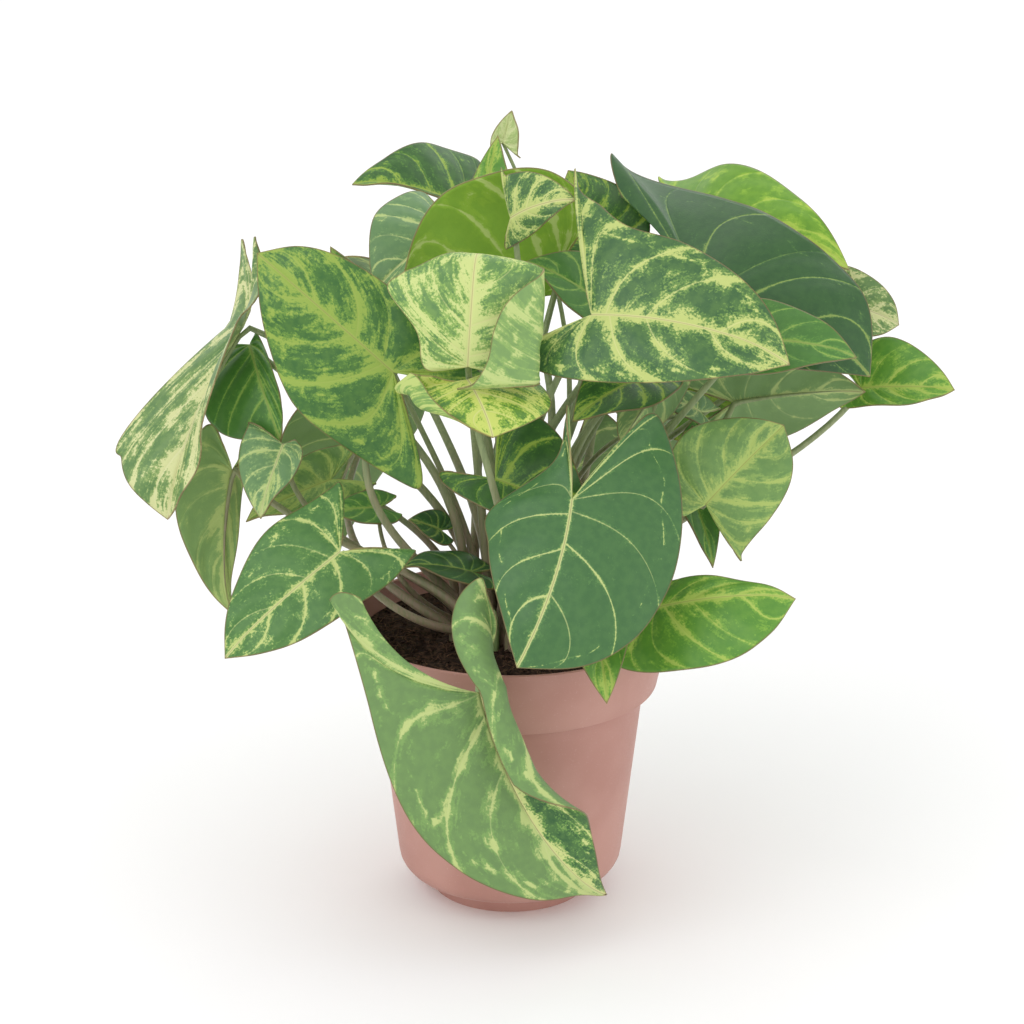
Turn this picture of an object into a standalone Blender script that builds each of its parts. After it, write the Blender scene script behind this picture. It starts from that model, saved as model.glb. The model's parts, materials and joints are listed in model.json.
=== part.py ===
"""A potted arrowhead vine: leaves on their stalks, potting soil and a plastic nursery pot.

Lengths are in metres, +Z is up and the pot's axis stands at the origin. Every leaf is placed by
where its two ends are seen in a view from the front, so the table of leaves can be read off a
picture: millimetres to the right, millimetres up the picture, and millimetres towards the viewer.
"""
import math
from dataclasses import dataclass
from itertools import combinations

import bmesh
import bpy
import numpy as np
from mathutils.bvhtree import BVHTree

MM = 0.001

# pot
RIM_RADIUS = 60.0 * MM
POT_HEIGHT = 107.0 * MM
POT_WALL = 1.3 * MM
BAND_LOW_RADIUS = 54.8 * MM
BAND_LOW_HEIGHT = 82.5 * MM
BODY_TOP_RADIUS = 49.9 * MM
BODY_LOW_RADIUS = 42.2 * MM
BODY_LOW_HEIGHT = 15.0 * MM
FOOT_RADIUS = 29.5 * MM
FOOT_HEIGHT = 5.5 * MM
FLOOR_THICKNESS = 2.0 * MM
POT_STEPS = 32
DRAIN_COUNT = 5
DRAIN_RADIUS = 3.2 * MM
DRAIN_CIRCLE = 20.0 * MM

# soil
SOIL_WALL_GAP = 0.5 * MM
SOIL_DEPTH_BELOW_RIM = 8.0 * MM
SOIL_DOME = 2.5 * MM
HOLE_CLEARANCE = 0.45 * MM
HOLE_SIDES = 6

# crown of stalks
CROWN_SPACING = 3.35 * MM
GOLDEN_ANGLE = math.radians(137.508)
STALK_LOW_RADIUS = 2.15 * MM
STALK_TOP_RADIUS = 1.15 * MM
STALK_END_RADIUS = 0.3 * MM
STALK_BURIED = 12.0 * MM
STALK_UPRIGHT = 7.0 * MM
STALK_POINTS = 7
STALK_SPACE = 0.9 * MM
STALK_LOOKS = 50
BOW_SIZES = (0.0, 5.0, 10.0, 15.0, 20.0, 27.0, 35.0)
BOW_TURNS = 10
COURSE_SWEEPS = 4
ARRIVE_TURNS = (0.0, 25.0, -25.0, 45.0)

# leaves
BLADE_THICKNESS = 0.8 * MM
RIB_STATIONS = 40
MARGIN_STATIONS = ((62.0 * MM, 10), (36.0 * MM, 9), (0.0, 6))
REACHES = (0.0, 0.5, 1.0)
ROLLED_REACHES = (0.0, 0.3, 0.5, 0.66, 0.82, 1.0)
ROLLED_CURL = 60.0
ROLL_SPAN = 0.22
SINUS_SHARE = 0.2
WAVES = 3.5
BLADE_SPACE = 2.2 * MM
SETTLE_STEP = 0.8
SETTLE_ROUNDS = 60

# the front view that the leaves are read in
VIEW_TILT = math.radians(19.0)
VIEW_DISTANCE = 1.2
VIEW_CENTRE = np.array((0.0, 0.0, 0.148))
AXIS_ACROSS = 1.5
VIEW_RIGHT = np.array((1.0, 0.0, 0.0))
VIEW_UP = np.array((0.0, math.sin(VIEW_TILT), math.cos(VIEW_TILT)))
VIEW_NEAR = np.array((0.0, -math.cos(VIEW_TILT), math.sin(VIEW_TILT)))

SOIL_TOP = POT_HEIGHT - SOIL_DEPTH_BELOW_RIM


def seen(across, up, near):
    """World point of a place read in the front view, in millimetres."""
    spread = (1 - near * MM / VIEW_DISTANCE) * MM
    return (VIEW_CENTRE + VIEW_RIGHT * (across - AXIS_ACROSS) * spread + VIEW_UP * up * spread
            + VIEW_NEAR * near * MM)


def direction(right, up, near):
    """World direction of one given in the front view."""
    vector = VIEW_RIGHT * right + VIEW_UP * up + VIEW_NEAR * near
    return vector / np.linalg.norm(vector)


def unit(vector):
    return vector / np.linalg.norm(vector)


@dataclass
class Leaf:
    """One leaf: where its blade's ends are seen, and how the blade is shaped. Pairs are left, right.

    Widths and lobes are shares of the midrib's length; angles are in degrees. A hollow lobe has its
    inner margin drawn in, and a roll turns the blade over from roll_at, a share of its width, outwards.
    """
    name: str
    base: tuple
    tip: tuple
    face: tuple
    width: tuple = (0.46, 0.46)
    lobe_back: tuple = (0.42, 0.42)
    lobe_out: tuple = (0.24, 0.24)
    belly: tuple = (0.1, 0.1)
    neck: tuple = (1.0, 1.0)
    full: tuple = (0.3, 0.3)
    hollow: tuple = (0.0, 0.0)
    droop: float = 35.0
    tip_droop: float = 15.0
    sway: float = 0.0
    twist: float = 0.0
    fold: tuple = (18.0, 18.0)
    curl: tuple = (-15.0, -15.0)
    roll: tuple = (0.0, 0.0)
    roll_at: tuple = (0.5, 0.5)
    hemmed: bool = False  # it rolls along its margin, not along its midrib
    opens: tuple = (1.0, 1.0)
    opens_at: float = 0.3
    lift: tuple = (0.0, 0.0)
    lobe_twist: tuple = (0.0, 0.0)
    wave: float = 0.02
    arrive: float = 60.0
    bow: tuple = (0.0, 0.0, 0.0)
    slim: float = 1.0


LEAVES = [
    Leaf("front_drape", (-9.6, -66.5, 56), (37.1, -140.8, 14), (-0.1, 0.25, 0.96), width=(0.27, 0.365),
         lobe_back=(0.4, 0.42), lobe_out=(0.12, 0.42), belly=(0.16, 0.3), droop=45, sway=40, fold=(8, 4),
         curl=(20, -14), hollow=(0, 1), roll=(170, 0), roll_at=(0.12, 0.5), opens=(0.0, 1), opens_at=0.3,
         full=(0.1, -0.25), lift=(20, 0), lobe_twist=(-120, 0), arrive=-60),
    Leaf("front_centre", (24.3, 4.4, 64), (4.0, -57.3, 76), (0.1, 0.3, 0.95), width=(0.62, 0.46),
         lobe_back=(0.6, 0.55), lobe_out=(0.38, 0.1), belly=(0.2, 0.08), droop=35, sway=-20,
         fold=(4, -6), curl=(-12, -24), lift=(10, 20), lobe_twist=(0, 60), arrive=20, neck=(1, 0.1),
         full=(1, 0.5)),
    Leaf("right_crest", (31.6, 72.4, 40), (104.4, 54, 46), (-0.05, 0.62, 0.78), width=(0.45, 0.34),
         lobe_back=(0.2, 0.34), lobe_out=(0.78, 0.2), belly=(0.12, 0.12), droop=40, sway=0,
         fold=(26, -6), curl=(-10, -34), neck=(0.7, 1), full=(0.5, 0.8), arrive=60),
    Leaf("crown_roll", (-14, 53.5, 50), (-10.3, 94.8, 42), (-0.05, 0.35, 0.93), width=(0.66, 0.99),
         lobe_back=(0.05, 0.16), lobe_out=(0.3, 1.23), belly=(0.55, 0.3), droop=20, tip_droop=80,
         fold=(0, 0), curl=(-16, -8), full=(0.2, 0.6), roll=(0, 185), roll_at=(0.5, 0.485),
         neck=(0.4, 1), arrive=60),
    Leaf("crown_apron", (-14, 48.5, 52), (-4.8, 27.2, 66), (0.0, 0.85, 0.5), width=(1.0, 1.12),
         lobe_back=(0.2, 0.1), lobe_out=(0.75, 1.3), belly=(0.5, 0.33), droop=30, fold=(0, 0),
         curl=(-20, -10), full=(1, -0.1), roll=(0, 160), roll_at=(0.5, 0.67), arrive=60, neck=(1, 1),
         hemmed=True),
    Leaf("left_great", (-41.5, 51.5, 32), (-91.5, 95.2, 28), (-0.15, 0.15, 0.97), width=(0.5, 0.34),
         lobe_back=(0.53, 0.4), lobe_out=(0.36, 0.3), belly=(0.2, 0.2), droop=20, fold=(0, 8),
         curl=(-16, -10), full=(0.3, 1), arrive=50),
    Leaf("left_blade", (-96.7, 68, 8), (-124.3, -2.9, 14), (-0.6, 0.2, 0.75), width=(0.16, 0.34),
         lobe_back=(0.46, 0.46), lobe_out=(0.22, 0.2), belly=(0.5, 0.68), droop=20, sway=10, twist=-70,
         fold=(30, 20), curl=(-10, -30), lift=(45, 45), lobe_twist=(60, -60), neck=(0.3, 0),
         full=(0.6, 0.4), arrive=30),
    Leaf("left_pale", (-100.7, 15.1, -12), (-101.1, -37.1, -8), (-0.5, 0.4, -0.75), width=(0.36, 0.12),
         lobe_back=(0.3, 0.1), lobe_out=(0.2, 0.06), belly=(0.2, 0.2), droop=40, fold=(20, 10),
         full=(0.2, 0.6), arrive=20),
    Leaf("left_shade", (-94.1, 61.4, -4), (-82.7, 26.1, 4), (-0.2, 0.5, 0.84), width=(0.14, 0.6),
         lobe_back=(0.1, 0.2), lobe_out=(0.08, 0.3), belly=(0.5, 0.5), droop=60, fold=(10, -10),
         full=(0.5, 1), arrive=40),
    Leaf("left_crinkle", (-82, 24.6, 8), (-90.1, -2.6, 14), (-0.1, 0.35, 0.93), width=(0.3, 0.5),
         lobe_back=(0.1, 0.1), lobe_out=(0.14, 0.5), belly=(0.2, 0.2), droop=30, twist=30, wave=0.03,
         arrive=20, slim=0.8),
    Leaf("left_low", (-61, -14.7, 32), (-103.3, -54, 40), (-0.15, 0.35, 0.92), width=(0.36, 0.42),
         lobe_back=(0.36, 0.32), lobe_out=(0.3, 0.36), belly=(0.1, 0.22), droop=20, fold=(4, 6),
         curl=(-12, -10), neck=(1.3, 1), full=(0.8, 0.4), arrive=10),
    Leaf("left_tuck", (-64.7, 11.8, -18), (-95.6, -3.7, -14), (-0.1, 0.4, 0.9), width=(0.28, 0.34),
         droop=20, twist=20, arrive=20, slim=0.8),
    Leaf("left_inner", (-47.1, 1.5, -2), (-65.4, -1.1, 2), (0, 0.6, 0.8), width=(0.5, 0.4), droop=20,
         arrive=20, slim=0.6),
    Leaf("top_left_dark", (-16.2, 112.7, -48), (-56.6, 120.3, -44), (0, 0.5, 0.85), width=(0.3, 0.64),
         lobe_back=(0.3, 0.25), lobe_out=(0.2, 0.66), belly=(0.16, 0.16), droop=50, fold=(40, -4),
         curl=(30, -16), full=(0.3, 0.4), arrive=70),
    Leaf("top_left_grey", (-22.4, 102.9, -22), (-47.8, 80.9, -10), (-0.4, 0.3, 0.86), width=(0.3, 0.64),
         lobe_back=(0.2, 0.35), lobe_out=(0.2, 0.5), belly=(0.2, 0.2), droop=50, sway=-20,
         full=(0.3, 0.5), arrive=60),
    Leaf("top_back_glow", (19.9, 91.9, -12), (-38.6, 80.9, 0), (0.05, 0.5, -0.86), width=(0.62, 0.22),
         lobe_back=(0.2, 0.3), lobe_out=(0.3, 0.2), belly=(0.25, 0.25), droop=30, fold=(10, 10),
         full=(1, 0.5), arrive=60),
    Leaf("top_wedge", (-10.3, 104.4, -34), (-2.9, 138.6, -40), (-0.2, 0.2, 0.95), width=(0.22, 0.34),
         lobe_back=(0.3, 0.3), lobe_out=(0.2, 0.2), droop=-10, arrive=80),
    Leaf("top_marbled", (1.8, 108.1, -8), (26.1, 114.7, 4), (0.1, 0.5, 0.86), width=(0.6, 0.34),
         lobe_back=(0.1, 0.3), lobe_out=(0.8, 0.3), belly=(0.1, 0.1), droop=40, fold=(16, -30),
         curl=(-10, -10), arrive=70, slim=0.9),
    Leaf("top_bud", (-1.1, 136, -62), (2.2, 147.8, -60), (-0.2, 0.2, 0.95), width=(0.4, 0.6),
         lobe_back=(0.3, 0.3), lobe_out=(0.3, 0.8), droop=-10, fold=(40, 30), arrive=80, slim=0.6),
    Leaf("right_great", (69.5, 81.6, -6), (133.8, 49.6, 2), (0.15, 0.5, 0.85), width=(0.5, 0.3),
         lobe_back=(0.8, 0.3), lobe_out=(0.74, 0.2), belly=(0.3, 0.24), droop=60, sway=0, fold=(6, -20),
         curl=(-16, -20), hollow=(0.35, 0), lift=(30, 0), neck=(0.2, 1), full=(0.7, 0.5), arrive=50),
    Leaf("right_glow", (69.5, 104.5, -40), (126.2, 88.9, -28), (0.1, 0.55, 0.83), width=(0.5, 0.3),
         lobe_back=(0.5, 0.3), lobe_out=(0.55, 0.2), belly=(0.02, 0.12), droop=70, fold=(6, 6),
         full=(0.0, 0.2), arrive=60),
    Leaf("right_shade", (87.9, 63.2, 14), (129, 56.6, 16), (0.1, 0.45, 0.88), width=(0.4, 0.34),
         droop=40, fold=(10, 4), arrive=40),
    Leaf("right_frost", (119.8, 78, -44), (144.5, 68.7, -40), (0.2, 0.2, 0.95), width=(0.5, 0.6),
         droop=40, full=(0.8, 0.8), arrive=40, slim=0.8),
    Leaf("right_far", (130.9, 45.6, -30), (165.1, 44.8, -20), (0.2, 0.3, 0.93), width=(0.54, 0.24),
         lobe_back=(0.2, 0.2), belly=(0.25, 0.25), droop=20, full=(0.4, 1), arrive=20),
    Leaf("right_under", (84.2, 40.4, -22), (132.3, 44.1, -14), (0.0, 0.35, -0.93), width=(0.4, 0.4),
         droop=30, arrive=30),
    Leaf("right_pale", (73.5, 2.9, 26), (102.2, 32, 20), (0.15, 0.1, 0.98), width=(0.56, 0.5),
         lobe_back=(0.22, 0.16), lobe_out=(0.1, 0.56), belly=(0.3, 0.3), droop=10, sway=-6, fold=(6, 6),
         curl=(-20, -14), full=(0.4, 0.9), arrive=-20),
    Leaf("right_low", (54.8, -35.3, 38), (106.6, -32, 44), (0.1, 0.55, 0.83), width=(0.2, 0.5),
         lobe_back=(0.1, 0.35), lobe_out=(0.42, 0.3), belly=(0.25, 0.25), droop=30, fold=(4, -4),
         curl=(-16, -16), full=(0.3, 1), arrive=10),
    Leaf("front_tongue", (31.6, -32.3, 46), (37.1, -70.6, 58), (0.05, 0.35, 0.93), width=(0.34, 0.34),
         droop=30, arrive=10),
    Leaf("right_sliver", (65.4, 15.4, 4), (76.1, -20.6, 12), (0.4, 0.3, 0.86), width=(0.26, 0.26),
         droop=10, arrive=10, slim=0.7),
    Leaf("centre_dark", (-3.7, 12.1, 24), (30.9, -2.9, 32), (0, 0.3, 0.95), width=(0.7, 0.34),
         lobe_back=(0.2, 0.54), lobe_out=(0.6, 0.14), belly=(0.14, 0.14), droop=20, arrive=40),
    Leaf("centre_low", (-13.2, -22.1, 6), (-38.2, -20.6, 12), (0, 0.9, 0.4), width=(0.5, 0.5), droop=20,
         curl=(-40, -20), arrive=30, slim=0.8),
    Leaf("centre_fold", (56.6, 46.7, 16), (42.3, 25, 26), (0.1, 0.3, -0.95), width=(0.4, 0.4), droop=30,
         fold=(30, 30), arrive=50, slim=0.8),
    Leaf("centre_veined", (49.3, 49.3, 26), (24.6, 33.1, 34), (0, 0.6, 0.8), width=(0.5, 0.5), droop=30,
         arrive=50, slim=0.8),
    Leaf("right_back_glow", (67.6, 41.2, -44), (95.2, 51.5, -40), (0, 0.3, 0.95), width=(0.5, 0.6),
         droop=20, arrive=40),
    Leaf("right_curl", (71.3, 36.8, 2), (51.1, 41.9, 8), (0, 0.5, 0.86), width=(0.3, 0.3), droop=40,
         arrive=50, slim=0.6),
    Leaf("top_back_green", (34.6, 100, -44), (22.8, 125.7, -48), (-0.1, 0.2, 0.97), width=(0.5, 0.7),
         droop=10, arrive=70),
    Leaf("left_tip", (-52.9, 77.9, -6), (-64.7, 97.8, -4), (-0.2, 0.2, 0.95), width=(0.3, 0.3), droop=0,
         arrive=60, slim=0.7),
    Leaf("right_small", (71.3, 26.5, -10), (64, 12.5, -4), (0.1, 0.3, 0.95), width=(0.4, 0.4), droop=10,
         arrive=30, slim=0.55),
    Leaf("centre_back", (33.5, 77.9, -8), (7, 91.9, -2), (0, 0.5, 0.86), width=(0.4, 0.5), droop=30,
         arrive=70),
    Leaf("soil_side", (-24.3, -6.6, -6), (-36, -2.9, -2), (0, 0.6, 0.8), width=(0.6, 0.6), droop=10,
         arrive=50, slim=0.6),
    Leaf("back_left_high", (-48, 84, -58), (-80, 56, -92), (-0.4, 0.75, -0.5), width=(0.46, 0.5),
         droop=45, arrive=50),
    Leaf("back_crown", (-8, 84, -82), (-28, 44, -122), (-0.1, 0.75, -0.65), width=(0.5, 0.46), droop=50,
         arrive=50),
    Leaf("back_right_high", (62, 84, -64), (104, 56, -98), (0.4, 0.75, -0.5), width=(0.46, 0.46),
         droop=45, arrive=50),
    Leaf("back_left_low", (-52, 30, -56), (-66, -22, -84), (-0.5, 0.6, -0.6), width=(0.5, 0.46),
         droop=35, arrive=30),
    Leaf("back_low", (-8, 60, -74), (-22, 38, -114), (-0.2, 0.8, -0.5), width=(0.46, 0.5), droop=35,
         arrive=30),
    Leaf("back_right_low", (58, 38, -62), (90, -2, -88), (0.4, 0.6, -0.65), width=(0.4, 0.4), droop=35,
         arrive=30),
    Leaf("back_top", (18, 112, -76), (42, 94, -110), (0.3, 0.85, -0.3), width=(0.46, 0.46), droop=45,
         arrive=70),
    Leaf("back_drape", (22, 14, -72), (30, -40, -92), (0.1, 0.5, -0.85), width=(0.48, 0.46), droop=30,
         arrive=0),
]


def half_outline(width, back, out, belly, neck, full, hollow):
    """Points of half the flat outline, from the sinus round the lobe to the tip; the midrib is 1 long."""
    rest = 1 - belly
    sweep = back + belly
    return np.array((
        (0.0, 0.0), (-0.25 * back, 0.19 * out),
        (-(0.7 + 0.25 * hollow) * back, (0.62 + 0.14 * hollow) * out),
        (-back, out),
        (-back + 0.12 * sweep, out + 0.45 * neck * (width - out)),
        (-back + 0.5 * sweep, out + 0.85 * neck * (width - out)),
        (belly, width), (belly + 0.29 * rest, (0.85 + 0.1 * full) * width),
        (belly + 0.56 * rest, (0.55 + 0.25 * full) * width),
        (belly + 0.8 * rest, (0.22 + 0.28 * full) * width),
        (1.0, 0.0)))


def through(points, share):
    """Smooth curve through the points, at each share (0 to 1) of their count."""
    ends = np.vstack((2 * points[0] - points[1], points, 2 * points[-1] - points[-2]))
    place = np.clip(share, 0, 1) * (len(points) - 1)
    span = np.minimum(place.astype(int), len(points) - 2)
    u = (place - span)[:, None]
    a, b, c, d = (ends[span + k] for k in range(4))
    cubic = (3 * b - a - 3 * c + d) * u ** 3
    return 0.5 * (2 * b + (c - a) * u + (2 * a - 5 * b + 4 * c - d) * u ** 2 + cubic)


def turned(vectors, axis, angle):
    """Vectors turned about a unit axis by an angle, or by an angle each."""
    angle = np.asarray(angle, float)[..., None]
    axis = np.broadcast_to(axis, vectors.shape)
    along = (vectors * axis).sum(-1, keepdims=True) * axis
    return along + (vectors - along) * np.cos(angle) + np.cross(axis, vectors) * np.sin(angle)


def arc(length, start, rate):
    """Where a line gets to along and across, when it sets off at an angle and bends at a rate."""
    half = rate * length / 2
    size = length * np.sinc(half / math.pi)
    return size * np.cos(start + half), size * np.sin(start + half)


def rolled(length, fold, bend, roll, start):
    """Where a line across a blade gets to, out and up, if it rolls over on the way, and its angle there."""
    span = ROLL_SPAN
    first = np.minimum(length, start)
    second = np.clip(length - start, 0, span)
    out, up = arc(first, fold, bend)
    angle = fold + bend * first
    for part, rate in ((second, bend + roll / span), (np.maximum(length - start - span, 0), bend)):
        further, higher = arc(part, angle, rate)
        out, up, angle = out + further, up + higher, angle + rate * part
    return out, up, angle


class Blade:
    """The blade of one leaf: a flat outline bent along its midrib and across it."""

    def __init__(self, leaf):
        self.leaf = leaf
        droop, tip_droop, sway, twist = (
            math.radians(angle) for angle in (leaf.droop, leaf.tip_droop, leaf.sway, leaf.twist))
        ahead, side, up = np.eye(3)
        place = np.zeros(3)
        step = 1 / RIB_STATIONS
        stations = []
        for k in range(RIB_STATIONS + 1):
            stations.append((place, ahead, side, up))
            late = tip_droop / 0.3 if (k + 0.5) * step > 0.7 else 0.0
            for axis, angle in ((side, (droop + late) * step), (up, sway * step), (ahead, twist * step)):
                ahead, side, up = (turned(vector, axis, angle) for vector in (ahead, side, up))
            place = place + ahead * step
        self.places, self.aheads, self.sides, self.ups = (np.array(column) for column in zip(*stations))
        self.nearer = 0.0
        self.settle_at(0.0)

    def settle_at(self, nearer):
        """Put the blade where the view shows it, moved towards the viewer by so many millimetres."""
        self.nearer = nearer
        across, up, near = self.leaf.base
        self.base = seen(across, up, near + nearer)
        across, up, near = self.leaf.tip
        chord = seen(across, up, near + nearer) - self.base
        own = self.axes_of(self.places[-1], self.ups[RIB_STATIONS // 2])
        world = self.axes_of(chord, direction(*self.leaf.face))
        self.length = np.linalg.norm(chord) / np.linalg.norm(self.places[-1])
        self.turn = world @ own.T

    @staticmethod
    def axes_of(chord, face):
        """Axes along a chord, across it and facing a direction."""
        ahead = unit(chord)
        up = unit(face - ahead * (face @ ahead))
        return np.column_stack((ahead, np.cross(up, ahead), up))

    def points(self, share, reach, hand):
        """World points of the blade's middle surface; hand 0 is the left half, 1 the right."""
        leaf = self.leaf
        outline = half_outline(leaf.width[hand], leaf.lobe_back[hand], leaf.lobe_out[hand], leaf.belly[hand],
                               leaf.neck[hand], leaf.full[hand], leaf.hollow[hand])
        margin = through(outline, share)
        rib = np.clip((share - 0.5) / 0.5, 0, 1) ** 1.8
        bowed = 0.55 * leaf.hollow[hand] * reach * (1 - reach) * np.clip((0.7 - share) / 0.3, 0, 1)
        x = rib + (margin[:, 0] - rib) * reach + bowed * margin[:, 1]
        y = np.maximum(margin[:, 1] * reach - bowed * margin[:, 0], 0)
        sign = 1.0 if hand == 0 else -1.0
        station = np.clip(x, 0, 1) * RIB_STATIONS
        low = np.minimum(station.astype(int), RIB_STATIONS - 1)
        between = (station - low)[:, None]
        place, ahead, side, up = (
            rows[low] * (1 - between) + rows[low + 1] * between
            for rows in (self.places, self.aheads, self.sides, self.ups))
        back = np.maximum(-x, 0)
        lift = math.radians(leaf.lift[hand]) / leaf.lobe_back[hand]
        behind, rise = arc(back, 0.0, lift)
        place = place - ahead * behind[:, None] + up * rise[:, None]
        lean = (lift * back)[:, None]
        up = up * np.cos(lean) + ahead * np.sin(lean)
        eased = 1 + (leaf.opens[hand] - 1) * np.clip((x - leaf.opens_at) / 0.45, 0, 1)
        fold = math.radians(leaf.fold[hand])
        bend = math.radians(leaf.curl[hand]) / leaf.width[hand]
        roll = math.radians(leaf.roll[hand])
        start = leaf.roll_at[hand] * (margin[:, 1] if leaf.hemmed else leaf.width[hand])
        out, raised, angle = rolled(y, fold * eased, bend * eased, roll * eased, start)
        angle = angle[:, None]
        normal = up * np.cos(angle) - side * sign * np.sin(angle)
        phase = 1.3 * hand + 0.7 * len(leaf.name)
        ripple = leaf.wave * reach ** 2 * np.sin(2 * math.pi * WAVES * share + phase)
        ripple = ripple * np.clip(share / 0.2, 0, 1) * np.clip((1 - share) / 0.15, 0, 1)
        spot = place + side * (sign * out)[:, None] + up * raised[:, None] + normal * ripple[:, None]
        if leaf.lobe_twist[hand]:
            behind, rise = arc(leaf.lobe_back[hand], 0.0, lift)
            out, raised, _ = rolled(leaf.lobe_out[hand], fold, bend, roll, start)
            axis = unit(np.array((-behind, sign * out, rise + raised)))
            turn = math.radians(leaf.lobe_twist[hand]) * sign * np.clip(back / leaf.lobe_back[hand], 0, 1)
            spot = turned(spot, axis, turn)
        return self.base + (spot * self.length) @ self.turn.T

    def facing(self):
        """Direction out of the upper face at the base."""
        return self.turn @ self.ups[0]

    def ahead(self):
        """Direction of the midrib at the base."""
        return self.turn @ self.aheads[0]


def sheet(blade, stations, reaches):
    """Corners of a blade's middle surface and its four-sided cells."""
    share = np.linspace(SINUS_SHARE, 1, stations + 1)
    corners = []
    cells = []
    for hand in (0, 1):
        for row, reach in enumerate(reaches):
            first = len(corners)
            corners.extend(blade.points(share, np.full(share.shape, reach), hand))
            if row == 0:
                continue
            for k in range(stations):
                inner = first - stations - 1 + k
                cell = (inner, inner + 1, first + k + 1, first + k)
                cells.append(cell if hand == 1 else cell[::-1])
    return np.array(corners), cells


def grid_of(blade):
    """How many cells go along the margin of one half of a blade, and how far out each row of corners is."""
    stations = next(count for length, count in MARGIN_STATIONS if blade.length > length)
    if max(np.abs(blade.leaf.curl + blade.leaf.roll)) > ROLLED_CURL:
        return stations + 3, ROLLED_REACHES
    return stations, REACHES


class Surface:
    """A blade's middle surface, to measure distances to."""

    def __init__(self, blade):
        self.corners, cells = sheet(blade, *grid_of(blade))
        self.tree = BVHTree.FromPolygons(self.corners.tolist(), cells)
        self.low = self.corners.min(axis=0)
        self.high = self.corners.max(axis=0)

    def within(self, points, space):
        """Which of the points lie in the surface's box grown by a space."""
        return np.flatnonzero(np.all((points > self.low - space) & (points < self.high + space), axis=1))

    def distance(self, point, most):
        """Distance of a point from the surface, or the given most."""
        found = self.tree.find_nearest(point, most)
        return most if found[3] is None else found[3]

    def in_front(self, other):
        """1.0 where this surface is nearer to the viewer than the other one beside it, or else -1.0."""
        total = 0.0
        for corner in self.corners:
            found = other.tree.find_nearest(corner)
            total += (corner - np.array(found[0])) @ VIEW_NEAR / (found[3] + 2 * MM)
        return 1.0 if total > 0 else -1.0

    def crowds(self, other):
        """Whether the two surfaces cross or come closer than two leaves should."""
        if np.any(self.low - BLADE_SPACE > other.high) or np.any(other.low - BLADE_SPACE > self.high):
            return False
        if self.tree.overlap(other.tree):
            return True
        for one, two in ((self, other), (other, self)):
            for index in two.within(one.corners, BLADE_SPACE):
                if two.distance(one.corners[index], BLADE_SPACE) < BLADE_SPACE:
                    return True
        return False


def settle(blades):
    """Part crossing blades towards and away from the viewer, which leaves the front view as it is."""
    surfaces = [Surface(blade) for blade in blades]
    pairs = list(combinations(range(len(blades)), 2))
    order = {}
    crowded = {}
    moved = set(range(len(blades)))
    for _ in range(SETTLE_ROUNDS):
        moves = np.zeros(len(blades))
        for pair in pairs:
            one, two = pair
            if one in moved or two in moved:
                crowded[pair] = surfaces[one].crowds(surfaces[two])
            if crowded[pair]:
                if pair not in order:
                    order[pair] = surfaces[one].in_front(surfaces[two])
                moves[one] += order[pair]
                moves[two] -= order[pair]
        moved = set(np.flatnonzero(moves))
        if not moved:
            break
        for index in moved:
            blade = blades[index]
            blade.settle_at(blade.nearer + math.copysign(SETTLE_STEP, moves[index]))
            surfaces[index] = Surface(blade)


def crown_places(count):
    """Places of the stalks at the soil, spread like the seeds of a sunflower, the middle ones first."""
    turns = np.arange(count) * GOLDEN_ANGLE
    radii = CROWN_SPACING * np.sqrt(np.arange(count) + 0.4)
    return np.column_stack((radii * np.cos(turns), radii * np.sin(turns)))


def rooted(blades):
    """Give each blade a free place in the crown: steep stalks in the middle, flat ones outside."""
    crown = np.array((0.0, 0.0, SOIL_TOP))
    free = list(crown_places(len(blades)))
    steepness = []
    for blade in blades:
        toward = blade.base - crown
        steepness.append(toward[2] / np.linalg.norm(toward[:2]))
    order = np.argsort(steepness)[::-1]
    roots = {}
    for rank, index in enumerate(order):
        toward = unit((blades[index].base - crown)[:2])
        wished = toward * CROWN_SPACING * math.sqrt(rank + 0.4)
        nearest = min(range(len(free)), key=lambda k: np.linalg.norm(free[k] - wished))
        roots[blades[index].leaf.name] = free.pop(nearest)
    return roots


def stalk_path(blade, root, count, bow, arrive):
    """Points of a stalk from under the soil to the underside of its blade, and its radius at each."""
    leaf = blade.leaf
    top = STALK_TOP_RADIUS * leaf.slim
    low = STALK_LOW_RADIUS * (0.4 + 0.6 * leaf.slim)
    foot = np.array((root[0], root[1], SOIL_TOP - STALK_BURIED))
    start = np.array((root[0], root[1], SOIL_TOP + STALK_UPRIGHT))
    outward = blade.base - start
    level = unit(np.array((outward[0], outward[1], 0.0)) + 1e-9)
    rise = math.radians(arrive)
    arriving = level * math.cos(rise) + np.array((0.0, 0.0, math.sin(rise)))
    size = np.linalg.norm(outward)
    end = blade.base - blade.facing() * 2.0 * top - blade.ahead() * top
    first = start + np.array((0.0, 0.0, 0.36 * size)) + bow
    second = end - arriving * 0.36 * size + bow
    share = np.linspace(0, 1, count)[:, None]
    curve = ((1 - share) ** 3 * start + 3 * (1 - share) ** 2 * share * first
             + 3 * (1 - share) * share ** 2 * second + share ** 3 * end)
    path = np.vstack((foot, curve, blade.base + blade.ahead() * 0.4 * MM))
    tapering = low + (top - low) * share[:, 0] ** 0.6
    return path, np.concatenate(((low,), tapering, (STALK_END_RADIUS,)))


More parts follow.
